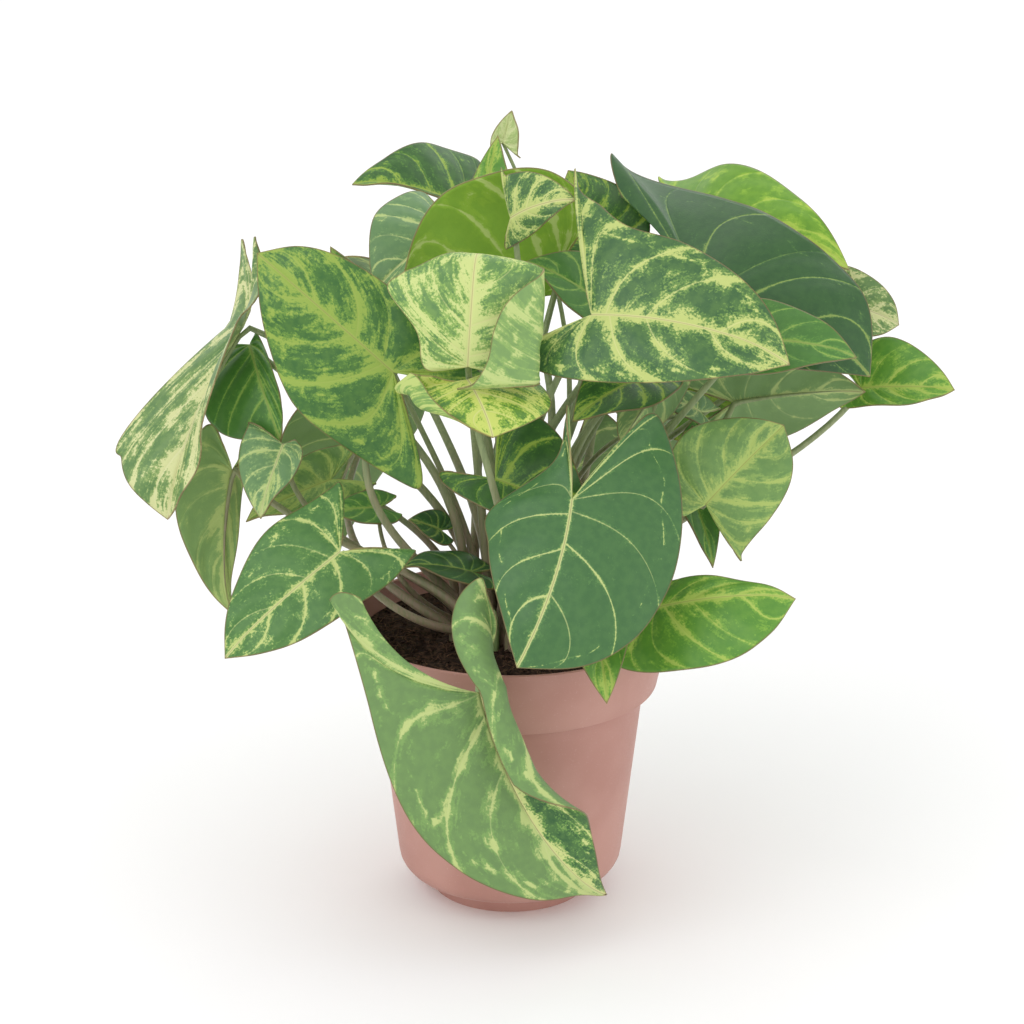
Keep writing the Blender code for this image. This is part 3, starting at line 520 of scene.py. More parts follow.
@dataclass(frozen=True)
class PotFinish(Finish):
    """Dusty pink matte plastic, redder inside and along the lip: painted light that comes through the wall.
    """

    outside: Colour = tone(180, 130, 118)
    faded: Colour = tone(192, 144, 132)
    # Painted light: the deep red of the inside stands in for light that comes through the thin plastic wall.
    inside: Colour = tone(146, 64, 48)
    scales: tuple[float, float] = (1400.0, 24.0)
    fading: tuple[float, float] = (0.35, 0.65)
    inner_share: float = 0.3
    dust: Colour = tone(228, 205, 196)
    dust_steps: tuple[float, float] = (0.62, 0.7)
    dust_share: float = 0.12
    gloss_change: tuple[float, float] = (-0.05, 0.08)
    relief: float = 0.12
    relief_height: float = 0.1 * MM
    roughness: float = 0.5

    def material(self, name: str, inner: bool, effects: Effects) -> bpy.types.Material:
        """Make the material of one side of the wall.

        Args:
            name: Name of the material.
            inner: Whether it is the inside.
            effects: The shared shader groups.

        Returns:
            The material.
        """
        surface, graph, shader = self.begin(name)
        grain = effects.grain.place(graph, {"Fine scale": self.scales[0], "Broad scale": self.scales[1]})
        # The inside takes the painted red of light coming through the wall.
        first = self.inside if inner else self.outside
        second = blended(self.inside, self.outside, self.inner_share) if inner else self.faded
        colour = graph.mix(graph.step(grain["Broad"], *self.fading), first, second)
        speck = graph.step(grain["Fine"], *self.dust_steps, 0.0, self.dust_share)
        graph.feed(shader.inputs["Base Color"], graph.mix(speck, colour, self.dust))
        graph.feed(shader.inputs["Roughness"], self.uneven(graph, grain["Fine"], 0.3, 0.7, self.gloss_change))
        graph.feed(shader.inputs["Normal"], graph.bump(grain["Fine"], self.relief, self.relief_height))
        return surface


@dataclass(frozen=True)
class SoilFinish(Finish):
    """Dark brown peat with lighter crumbs."""

    deep: Colour = tone(46, 34, 28)
    crumb: Colour = tone(96, 72, 58)
    scales: tuple[float, float] = (700.0, 130.0)
    fine_steps: tuple[float, float] = (0.42, 0.66)
    broad_steps: tuple[float, float] = (0.3, 0.62)
    relief: float = 0.9
    relief_height: float = 0.8 * MM
    roughness: float = 0.92
    specular: float = 0.15

    def material(self, name: str, effects: Effects) -> bpy.types.Material:
        """Make the material.

        Args:
            name: Name of the material.
            effects: The shared shader groups.

        Returns:
            The material.
        """
        surface, graph, shader = self.begin(name)
        grain = effects.grain.place(graph, {"Fine scale": self.scales[0], "Broad scale": self.scales[1]})
        share = graph.times(graph.step(grain["Fine"], *self.fine_steps),
                            graph.step(grain["Broad"], *self.broad_steps))
        graph.feed(shader.inputs["Base Color"], graph.mix(share, self.deep, self.crumb))
        height = graph.plus(grain["Fine"], grain["Broad"])
        graph.feed(shader.inputs["Normal"], graph.bump(height, self.relief, self.relief_height))
        return surface


@dataclass(frozen=True)
class StudioFinish(Finish):
    """Plain white of the floor."""

    colour: Colour = (0.97, 0.97, 0.97)
    roughness: float = 0.8

    def material(self, name: str) -> bpy.types.Material:
        """Make the material."""
        surface, _, shader = self.begin(name)
        shader.inputs["Base Color"].default_value = (*self.colour, 1.0)
        return surface


MARBLED = LeafFinish(dark=tone(66, 109, 55), mid=tone(105, 149, 71), pale=tone(188, 201, 118),
                     line=tone(209, 209, 144), spread=2.6, ring=0.7, specks=1.3, cover=0.08, lines=0.55)


class Look(Enum):
    """Looks of the leaves of this plant."""

    DRAPE = replace(MARBLED, dark=tone(49, 94, 50), pale=tone(201, 211, 134), spread=2.4, cover=0.04)
    CREST = replace(MARBLED, dark=tone(58, 98, 55), mid=tone(103, 141, 69), spread=2.6)
    ROLL = replace(MARBLED, dark=tone(92, 132, 74), mid=tone(137, 173, 87), pale=tone(199, 212, 134),
                   streaks=1.6, spread=3.2, cover=0.16)
    APRON = replace(MARBLED, dark=tone(77, 124, 52), mid=tone(132, 169, 59), pale=tone(194, 207, 104),
                    streaks=1.5, spread=3.0, cover=0.16)
    WIDE = replace(MARBLED, dark=tone(55, 102, 44), mid=tone(98, 139, 55), pale=tone(143, 169, 71),
                   line=tone(154, 173, 82), streaks=1.4, spread=2.8, cover=0.1, ring=0.6)
    WHITISH = replace(MARBLED, dark=tone(90, 126, 72), mid=tone(132, 160, 92), pale=tone(205, 209, 150),
                      line=tone(214, 214, 165), streaks=1.5, spread=2.6)
    SPARSE = LeafFinish(dark=tone(62, 105, 57), mid=tone(83, 126, 67), pale=tone(175, 192, 114),
                        line=tone(192, 201, 133), spread=0.75, ring=0.75, streaks=0.7, blotches=0.4,
                        lines=0.75, rib=1.0)
    DEEP = LeafFinish(dark=tone(45, 85, 42), mid=tone(64, 105, 50), pale=tone(126, 152, 74),
                      line=tone(137, 160, 81), spread=0.8, ring=0.5, streaks=0.7, blotches=0.5, lines=0.4,
                      rib=0.6, roughness=0.36)
    DEEP_VEINED = LeafFinish(dark=tone(49, 90, 39), mid=tone(79, 124, 47), pale=tone(141, 169, 62),
                             line=tone(150, 175, 74), spread=1.7, ring=0.4, streaks=1.2, blotches=0.8,
                             lines=0.7)
    GREEN = LeafFinish(dark=tone(70, 118, 50), mid=tone(90, 139, 59), pale=tone(132, 167, 74),
                       line=tone(147, 175, 87), spread=0.9, ring=0.2, blotches=0.6, lines=0.5, rib=0.6)
    SPECKLED = LeafFinish(dark=tone(70, 115, 55), mid=tone(98, 141, 69), pale=tone(184, 199, 119),
                          line=tone(199, 205, 138), spread=1.3, ring=0.5, streaks=1.0, specks=1.5)
    GREY = LeafFinish(dark=tone(98, 135, 87), mid=tone(120, 154, 97), pale=tone(177, 196, 124),
                      line=tone(196, 205, 144), spread=1.2, ring=0.5, streaks=1.1, roughness=0.5)
    # Painted light: brighter, yellower greens stand in for light shining through these thin leaves from
    # behind.
    GLOW = LeafFinish(dark=tone(98, 147, 37), mid=tone(128, 171, 47), pale=tone(165, 194, 71),
                      line=tone(175, 196, 87), veil=tone(140, 176, 62), spread=2.4, ring=0.4, blotches=1.3,
                      streaks=0.8, specks=0.6, lines=0.4, rib=0.5)
    BRIGHT = LeafFinish(dark=tone(86, 139, 50), mid=tone(117, 164, 59), pale=tone(164, 190, 84),
                        line=tone(177, 196, 97), veil=tone(136, 172, 80), spread=1.6, ring=0.3, blotches=1.0,
                        lines=0.5, rib=0.7)
    FADED = LeafFinish(dark=tone(103, 141, 77), mid=tone(132, 164, 87), pale=tone(167, 188, 101),
                       line=tone(171, 190, 99), spread=2.2, ring=0.4, blotches=0.9, streaks=1.1, specks=0.8)
    BUD = LeafFinish(dark=tone(158, 184, 109), mid=tone(184, 201, 133), pale=tone(207, 216, 158),
                     line=tone(211, 216, 165), spread=2.0, ring=0.2, lines=0.3, rib=0.3)


# --- the front view ---


@dataclass(frozen=True)
class FrontView:
    """The view that the leaves are read in, which is the camera's too."""

    tilt: float = math.radians(19.0)
    distance: float = 1.2
    centre: tuple[float, float, float] = (0.0, 0.0, 0.148)
    axis_across: float = 1.5
    aim_across: float = 0.735 * MM
    lens: float = 114.7
    sensor: float = 36.0
    clip: tuple[float, float] = (0.05, 30.0)

    @property
    def right(self) -> np.ndarray:
        """Direction to the picture's right."""
        return np.array((1.0, 0.0, 0.0))

    @property
    def up(self) -> np.ndarray:
        """Direction up the picture."""
        return np.array((0.0, math.sin(self.tilt), math.cos(self.tilt)))

    @property
    def near(self) -> np.ndarray:
        """Direction towards the viewer."""
        return np.array((0.0, -math.cos(self.tilt), math.sin(self.tilt)))

    def seen(self, across: float, up: float, near: float) -> np.ndarray:
        """World point of a place read in the view, in millimetres."""
        spread = (1 - near * MM / self.distance) * MM
        return (np.array(self.centre) + self.right * (across - self.axis_across) * spread
                + self.up * up * spread + self.near * near * MM)

    def direction(self, right: float, up: float, near: float) -> np.ndarray:
        """World direction, of length 1, of one given to the right, up the picture and towards the viewer."""
        return unit(self.right * right + self.up * up + self.near * near)

    def camera(self) -> None:
        """Make the camera and hand it to the scene."""
        made = linked("camera", bpy.data.cameras.new("camera"))
        made.data.lens = self.lens
        made.data.sensor_width = self.sensor
        made.data.clip_start, made.data.clip_end = self.clip
        target = Vector(self.centre) + Vector((self.aim_across, 0.0, 0.0))
        made.location = target + Vector(self.near) * self.distance
        made.rotation_euler = Vector(-self.near).to_track_quat("-Z", "Y").to_euler()
        bpy.context.scene.camera = made


VIEW = FrontView()
ROLL_SPAN = 0.22


# --- leaves ---


def unit(vector: np.ndarray) -> np.ndarray:
    """Give a vector the length 1."""
    return vector / np.linalg.norm(vector)


def ramp(value: np.ndarray, start: float, span: float) -> np.ndarray:
    """Rise from 0 at a start to 1 a span further on. A negative span falls towards the start."""
    return np.clip((value - start) / span, 0, 1)


def through(points: np.ndarray, share: np.ndarray) -> np.ndarray:
    """Follow a smooth curve through points.

    Args:
        points: The points.
        share: Places on the curve, 0 to 1 over their count.

    Returns:
        A point for each place.
    """
    ends = np.vstack((2 * points[0] - points[1], points, 2 * points[-1] - points[-2]))
    place = np.clip(share, 0, 1) * (len(points) - 1)
    span = np.minimum(place.astype(int), len(points) - 2)
    u = (place - span)[:, None]
    a, b, c, d = (ends[span + k] for k in range(4))
    bent = (2 * a - 5 * b + 4 * c - d) * u ** 2
    return 0.5 * (2 * b + (c - a) * u + bent + (3 * b - a - 3 * c + d) * u ** 3)


def turned(vectors: np.ndarray, axis: np.ndarray, angle: float | np.ndarray) -> np.ndarray:
    """Turn vectors about a unit axis.

    Args:
        vectors: The vectors.
        axis: The axis, or one for each vector.
        angle: The angle, or one for each vector.

    Returns:
        The turned vectors.
    """
    angle = np.asarray(angle, float)[..., None]
    axis = np.broadcast_to(axis, vectors.shape)
    along = (vectors * axis).sum(-1, keepdims=True) * axis
    return along + (vectors - along) * np.cos(angle) + np.cross(axis, vectors) * np.sin(angle)


def arc(length: np.ndarray | float, start: np.ndarray | float, rate: np.ndarray | float) -> tuple:
    """Follow a line that sets off at an angle and bends at a rate.

    Args:
        length: Length of the line.
        start: Angle it sets off at.
        rate: Angle it turns by over a unit of length.

    Returns:
        How far along and how far across its end lies.
    """
    half = rate * length / 2
    size = length * np.sinc(half / math.pi)
    return size * np.cos(start + half), size * np.sin(start + half)


def rolled(length: np.ndarray | float, fold: np.ndarray | float, bend: np.ndarray | float,
           roll: np.ndarray | float, start: np.ndarray | float) -> tuple:
    """Follow a line across a blade that rolls over on its way.

    Args:
        length: How far along the line.
        fold: The angle that it sets off at.
        bend: How fast it bends.
        roll: How far it rolls over.
        start: Where the roll begins.

    Returns:
        How far out and how far up it gets, and its angle there.
    """
    out, up = arc(np.minimum(length, start), fold, bend)
    angle = fold + bend * np.minimum(length, start)
    for part, rate in ((np.clip(length - start, 0, ROLL_SPAN), bend + roll / ROLL_SPAN),
                       (np.maximum(length - start - ROLL_SPAN, 0), bend)):
        further, higher = arc(part, angle, rate)
        out, up, angle = out + further, up + higher, angle + rate * part
    return out, up, angle


@dataclass
class Leaf:
    """One leaf: where its blade's ends are seen, and how the blade is shaped. Pairs are left, right.

    Widths and lobes are shares of the midrib's length; angles are in degrees. A hollow lobe has its
    inner margin drawn in. A roll turns the blade over from roll_at, a share of its width, outwards,
    within ROLL_SPAN of the midrib's length, and a hemmed leaf rolls along its margin instead of along
    its midrib. The stalk arrives at an angle above level, and slim thins it.
    """

    name: str
    look: Look
    base: tuple[float, float, float]
    tip: tuple[float, float, float]
    face: tuple[float, float, float]
    width: tuple[float, float] = (0.46, 0.46)
    lobe_back: tuple[float, float] = (0.42, 0.42)
    lobe_out: tuple[float, float] = (0.24, 0.24)
    belly: tuple[float, float] = (0.1, 0.1)
    neck: tuple[float, float] = (1.0, 1.0)
    full: tuple[float, float] = (0.3, 0.3)
    hollow: tuple[float, float] = (0.0, 0.0)
    droop: float = 35.0
    tip_droop: float = 15.0
    sway: float = 0.0
    twist: float = 0.0
    fold: tuple[float, float] = (18.0, 18.0)
    curl: tuple[float, float] = (-15.0, -15.0)
    roll: tuple[float, float] = (0.0, 0.0)
    roll_at: tuple[float, float] = (0.5, 0.5)
    hemmed: bool = False
    opens: tuple[float, float] = (1.0, 1.0)
    opens_at: float = 0.3
    lift: tuple[float, float] = (0.0, 0.0)
    lobe_twist: tuple[float, float] = (0.0, 0.0)
    wave: float = 0.02
    arrive: float = 60.0
    slim: float = 1.0

    def half_outline(self, hand: int) -> np.ndarray:
        """Draw half the flat outline, from the sinus round the lobe to the tip, for a midrib of length 1.

        Args:
            hand: 0 for the left half, 1 for the right.

        Returns:
            The outline's points.
        """
        width, back, out = self.width[hand], self.lobe_back[hand], self.lobe_out[hand]
        neck, full, belly, hollow = self.neck[hand], self.full[hand], self.belly[hand], self.hollow[hand]
        rest = 1 - belly
        sweep = back + belly
        return np.array((
            (0.0, 0.0), (-0.25 * back, 0.19 * out),
            (-(0.7 + 0.25 * hollow) * back, (0.62 + 0.14 * hollow) * out), (-back, out),
            (-back + 0.12 * sweep, out + 0.45 * neck * (width - out)),
            (-back + 0.5 * sweep, out + 0.85 * neck * (width - out)),
            (belly, width), (belly + 0.29 * rest, (0.85 + 0.1 * full) * width),
            (belly + 0.56 * rest, (0.55 + 0.25 * full) * width),
            (belly + 0.8 * rest, (0.22 + 0.28 * full) * width),
            (1.0, 0.0)))


LEAVES = [
    Leaf("front_drape", Look.DRAPE, (-9.6, -66.5, 56), (37.1, -140.8, 14), (-0.1, 0.25, 0.96),
         width=(0.27, 0.365), lobe_back=(0.4, 0.42), lobe_out=(0.12, 0.42), belly=(0.16, 0.3), droop=45,
         sway=40, fold=(8, 4), curl=(20, -14), hollow=(0, 1), roll=(170, 0), roll_at=(0.12, 0.5),
         opens=(0.0, 1), full=(0.1, -0.25), lift=(20, 0), lobe_twist=(-120, 0), arrive=-60),
    Leaf("front_centre", Look.SPARSE, (24.3, 4.4, 64), (4.0, -57.3, 76), (0.1, 0.3, 0.95),
         width=(0.62, 0.46), lobe_back=(0.6, 0.55), lobe_out=(0.38, 0.1), belly=(0.2, 0.08), sway=-20,
         fold=(4, -6), curl=(-12, -24), lift=(10, 20), lobe_twist=(0, 60), arrive=20, neck=(1, 0.1),
         full=(1, 0.5)),
    Leaf("right_crest", Look.CREST, (31.6, 72.4, 40), (104.4, 54, 46), (-0.05, 0.62, 0.78),
         width=(0.45, 0.34), lobe_back=(0.2, 0.34), lobe_out=(0.78, 0.2), belly=(0.12, 0.12), droop=40,
         fold=(26, -6), curl=(-10, -34), neck=(0.7, 1), full=(0.5, 0.8)),
    Leaf("crown_roll", Look.ROLL, (-14, 53.5, 50), (-10.3, 94.8, 42), (-0.05, 0.35, 0.93),
         width=(0.66, 0.99), lobe_back=(0.05, 0.16), lobe_out=(0.3, 1.23), belly=(0.55, 0.3), droop=20,
         tip_droop=80, fold=(0, 0), curl=(-16, -8), full=(0.2, 0.6), roll=(0, 185), roll_at=(0.5, 0.485),
         neck=(0.4, 1)),
    Leaf("crown_apron", Look.APRON, (-14, 48.5, 52), (-4.8, 27.2, 66), (0.0, 0.85, 0.5),
         width=(1.0, 1.12), lobe_back=(0.2, 0.1), lobe_out=(0.75, 1.3), belly=(0.5, 0.33), droop=30,
         fold=(0, 0), curl=(-20, -10), full=(1, -0.1), roll=(0, 160), roll_at=(0.5, 0.67), hemmed=True),
    Leaf("left_great", Look.WIDE, (-41.5, 51.5, 32), (-91.5, 95.2, 28), (-0.15, 0.15, 0.97),
         width=(0.5, 0.34), lobe_back=(0.53, 0.4), lobe_out=(0.36, 0.3), belly=(0.2, 0.2), droop=20,
         fold=(0, 8), curl=(-16, -10), full=(0.3, 1), arrive=50),
    Leaf("left_blade", Look.WHITISH, (-96.7, 68, 8), (-124.3, -2.9, 14), (-0.6, 0.2, 0.75),
         width=(0.16, 0.34), lobe_back=(0.46, 0.46), lobe_out=(0.22, 0.2), belly=(0.5, 0.68), droop=20,
         sway=10, twist=-70, fold=(30, 20), curl=(-10, -30), lift=(45, 45), lobe_twist=(60, -60),
         neck=(0.3, 0), full=(0.6, 0.4), arrive=30),
    Leaf("left_pale", Look.FADED, (-100.7, 15.1, -12), (-101.1, -37.1, -8), (-0.5, 0.4, -0.75),
         width=(0.36, 0.12), lobe_back=(0.3, 0.1), lobe_out=(0.2, 0.06), belly=(0.2, 0.2), droop=40,
         fold=(20, 10), full=(0.2, 0.6), arrive=20),
    Leaf("left_shade", Look.GREEN, (-94.1, 61.4, -4), (-82.7, 26.1, 4), (-0.2, 0.5, 0.84),
         width=(0.14, 0.6), lobe_back=(0.1, 0.2), lobe_out=(0.08, 0.3), belly=(0.5, 0.5), droop=60,
         fold=(10, -10), full=(0.5, 1), arrive=40),
    Leaf("left_crinkle", Look.GREY, (-82, 24.6, 8), (-90.1, -2.6, 14), (-0.1, 0.35, 0.93),
         width=(0.3, 0.5), lobe_back=(0.1, 0.1), lobe_out=(0.14, 0.5), belly=(0.2, 0.2), droop=30,
         twist=30, wave=0.03, arrive=20, slim=0.8),
    Leaf("left_low", Look.SPECKLED, (-61, -14.7, 32), (-103.3, -54, 40), (-0.15, 0.35, 0.92),
         width=(0.36, 0.42), lobe_back=(0.36, 0.32), lobe_out=(0.3, 0.36), belly=(0.1, 0.22), droop=20,
         fold=(4, 6), curl=(-12, -10), neck=(1.3, 1), full=(0.8, 0.4), arrive=10),
    Leaf("left_tuck", Look.FADED, (-64.7, 11.8, -18), (-95.6, -3.7, -14), (-0.1, 0.4, 0.9),
         width=(0.28, 0.34), droop=20, twist=20, arrive=20, slim=0.8),
    Leaf("left_inner", Look.GREEN, (-47.1, 1.5, -2), (-65.4, -1.1, 2), (0, 0.6, 0.8), width=(0.5, 0.4),
         droop=20, arrive=20, slim=0.6),
    Leaf("top_left_dark", Look.DEEP_VEINED, (-16.2, 112.7, -48), (-56.6, 120.3, -44), (0, 0.5, 0.85),
         width=(0.3, 0.64), lobe_back=(0.3, 0.25), lobe_out=(0.2, 0.66), belly=(0.16, 0.16), droop=50,
         fold=(40, -4), curl=(30, -16), full=(0.3, 0.4), arrive=70),
    Leaf("top_left_grey", Look.GREY, (-22.4, 102.9, -22), (-47.8, 80.9, -10), (-0.4, 0.3, 0.86),
         width=(0.3, 0.64), lobe_back=(0.2, 0.35), lobe_out=(0.2, 0.5), belly=(0.2, 0.2), droop=50,
         sway=-20, full=(0.3, 0.5)),
    Leaf("top_back_glow", Look.GLOW, (19.9, 91.9, -12), (-38.6, 80.9, 0), (0.05, 0.5, -0.86),
         width=(0.62, 0.22), lobe_back=(0.2, 0.3), lobe_out=(0.3, 0.2), belly=(0.25, 0.25), droop=30,
         fold=(10, 10), full=(1, 0.5)),
    Leaf("top_wedge", Look.BRIGHT, (-10.3, 104.4, -34), (-2.9, 138.6, -40), (-0.2, 0.2, 0.95),
         width=(0.22, 0.34), lobe_back=(0.3, 0.3), lobe_out=(0.2, 0.2), droop=-10, arrive=80),
    Leaf("top_marbled", Look.CREST, (1.8, 108.1, -8), (26.1, 114.7, 4), (0.1, 0.5, 0.86),
         width=(0.6, 0.34), lobe_back=(0.1, 0.3), lobe_out=(0.8, 0.3), droop=40, fold=(16, -30),
         curl=(-10, -10), arrive=70, slim=0.9),
    Leaf("top_bud", Look.BUD, (-1.1, 136, -62), (2.2, 147.8, -60), (-0.2, 0.2, 0.95), width=(0.4, 0.6),
         lobe_back=(0.3, 0.3), lobe_out=(0.3, 0.8), droop=-10, fold=(40, 30), arrive=80, slim=0.6),
    Leaf("right_great", Look.DEEP, (69.5, 81.6, -6), (133.8, 49.6, 2), (0.15, 0.5, 0.85),
         width=(0.5, 0.3), lobe_back=(0.8, 0.3), lobe_out=(0.74, 0.2), belly=(0.3, 0.24), droop=60,
         fold=(6, -20), curl=(-16, -20), hollow=(0.35, 0), lift=(30, 0), neck=(0.2, 1), full=(0.7, 0.5),
         arrive=50),
    Leaf("right_glow", Look.GLOW, (69.5, 104.5, -40), (126.2, 88.9, -28), (0.1, 0.55, 0.83),
         width=(0.5, 0.3), lobe_back=(0.5, 0.3), lobe_out=(0.55, 0.2), belly=(0.02, 0.12), droop=70,
         fold=(6, 6), full=(0.0, 0.2)),
    Leaf("right_shade", Look.GREEN, (87.9, 63.2, 14), (129, 56.6, 16), (0.1, 0.45, 0.88),
         width=(0.4, 0.34), droop=40, fold=(10, 4), arrive=40),
    Leaf("right_frost", Look.WHITISH, (119.8, 78, -44), (144.5, 68.7, -40), (0.2, 0.2, 0.95),
         width=(0.5, 0.6), droop=40, full=(0.8, 0.8), arrive=40, slim=0.8),
    Leaf("right_far", Look.BRIGHT, (130.9, 45.6, -30), (165.1, 44.8, -20), (0.2, 0.3, 0.93),
         width=(0.54, 0.24), lobe_back=(0.2, 0.2), belly=(0.25, 0.25), droop=20, full=(0.4, 1),
         arrive=20),
    Leaf("right_under", Look.GREY, (84.2, 40.4, -22), (132.3, 44.1, -14), (0.0, 0.35, -0.93),
         width=(0.4, 0.4), droop=30, arrive=30),
    Leaf("right_pale", Look.FADED, (73.5, 2.9, 26), (102.2, 32, 20), (0.15, 0.1, 0.98),
         width=(0.56, 0.5), lobe_back=(0.22, 0.16), lobe_out=(0.1, 0.56), belly=(0.3, 0.3), droop=10,
         sway=-6, fold=(6, 6), curl=(-20, -14), full=(0.4, 0.9), arrive=-20),
    Leaf("right_low", Look.BRIGHT, (54.8, -35.3, 38), (106.6, -32, 44), (0.1, 0.55, 0.83),
         width=(0.2, 0.5), lobe_back=(0.1, 0.35), lobe_out=(0.42, 0.3), belly=(0.25, 0.25), droop=30,
         fold=(4, -4), curl=(-16, -16), full=(0.3, 1), arrive=10),
    Leaf("front_tongue", Look.BRIGHT, (31.6, -32.3, 46), (37.1, -70.6, 58), (0.05, 0.35, 0.93),
         width=(0.34, 0.34), droop=30, arrive=10),
    Leaf("right_sliver", Look.GREEN, (65.4, 15.4, 4), (76.1, -20.6, 12), (0.4, 0.3, 0.86),
         width=(0.26, 0.26), droop=10, arrive=10, slim=0.7),
    Leaf("centre_dark", Look.DEEP_VEINED, (-3.7, 12.1, 24), (30.9, -2.9, 32), (0, 0.3, 0.95),
         width=(0.7, 0.34), lobe_back=(0.2, 0.54), lobe_out=(0.6, 0.14), belly=(0.14, 0.14), droop=20,
         arrive=40),
    Leaf("centre_low", Look.DEEP, (-13.2, -22.1, 6), (-38.2, -20.6, 12), (0, 0.9, 0.4),
         width=(0.5, 0.5), droop=20, curl=(-40, -20), arrive=30, slim=0.8),
    Leaf("centre_fold", Look.GREY, (56.6, 46.7, 16), (42.3, 25, 26), (0.1, 0.3, -0.95),
         width=(0.4, 0.4), droop=30, fold=(30, 30), arrive=50, slim=0.8),
    Leaf("centre_veined", Look.DEEP_VEINED, (49.3, 49.3, 26), (24.6, 33.1, 34), (0, 0.6, 0.8),
         width=(0.5, 0.5), droop=30, arrive=50, slim=0.8),
    Leaf("right_back_glow", Look.GLOW, (67.6, 41.2, -44), (95.2, 51.5, -40), (0, 0.3, 0.95),
         width=(0.5, 0.6), droop=20, arrive=40),
    Leaf("right_curl", Look.GREY, (71.3, 36.8, 2), (51.1, 41.9, 8), (0, 0.5, 0.86), width=(0.3, 0.3),
         droop=40, arrive=50, slim=0.6),
    Leaf("top_back_green", Look.DEEP_VEINED, (34.6, 100, -44), (22.8, 125.7, -48), (-0.1, 0.2, 0.97),
         width=(0.5, 0.7), droop=10, arrive=70),
    Leaf("left_tip", Look.GREEN, (-52.9, 77.9, -6), (-64.7, 97.8, -4), (-0.2, 0.2, 0.95),
         width=(0.3, 0.3), droop=0, slim=0.7),
    Leaf("right_small", Look.GREEN, (71.3, 26.5, -10), (64, 12.5, -4), (0.1, 0.3, 0.95),
         width=(0.4, 0.4), droop=10, arrive=30, slim=0.55),
    Leaf("centre_back", Look.GREEN, (33.5, 77.9, -8), (7, 91.9, -2), (0, 0.5, 0.86), width=(0.4, 0.5),
         droop=30, arrive=70),
    Leaf("soil_side", Look.DEEP, (-24.3, -6.6, -6), (-36, -2.9, -2), (0, 0.6, 0.8), width=(0.6, 0.6),
         droop=10, arrive=50, slim=0.6),
    Leaf("back_left_high", Look.CREST, (-48, 84, -58), (-80, 56, -92), (-0.4, 0.75, -0.5),
         width=(0.46, 0.5), droop=45, arrive=50),
    Leaf("back_crown", Look.WIDE, (-8, 84, -82), (-28, 44, -122), (-0.1, 0.75, -0.65),
         width=(0.5, 0.46), droop=50, arrive=50),
    Leaf("back_right_high", Look.SPECKLED, (62, 84, -64), (104, 56, -98), (0.4, 0.75, -0.5), droop=45,
         arrive=50),
    Leaf("back_left_low", Look.GREEN, (-52, 30, -56), (-66, -22, -84), (-0.5, 0.6, -0.6),
         width=(0.5, 0.46), arrive=30),
    Leaf("back_low", Look.SPARSE, (-8, 60, -74), (-22, 38, -114), (-0.2, 0.8, -0.5), width=(0.46, 0.5),
         arrive=30),
    Leaf("back_right_low", Look.DEEP_VEINED, (58, 38, -62), (90, -2, -88), (0.4, 0.6, -0.65),
         width=(0.4, 0.4), arrive=30),
    Leaf("back_top", Look.WIDE, (18, 112, -76), (42, 94, -110), (0.3, 0.85, -0.3), droop=45, arrive=70),
    Leaf("back_drape", Look.DRAPE, (22, 14, -72), (30, -40, -92), (0.1, 0.5, -0.85), width=(0.48, 0.46),
         droop=30, arrive=0),
]


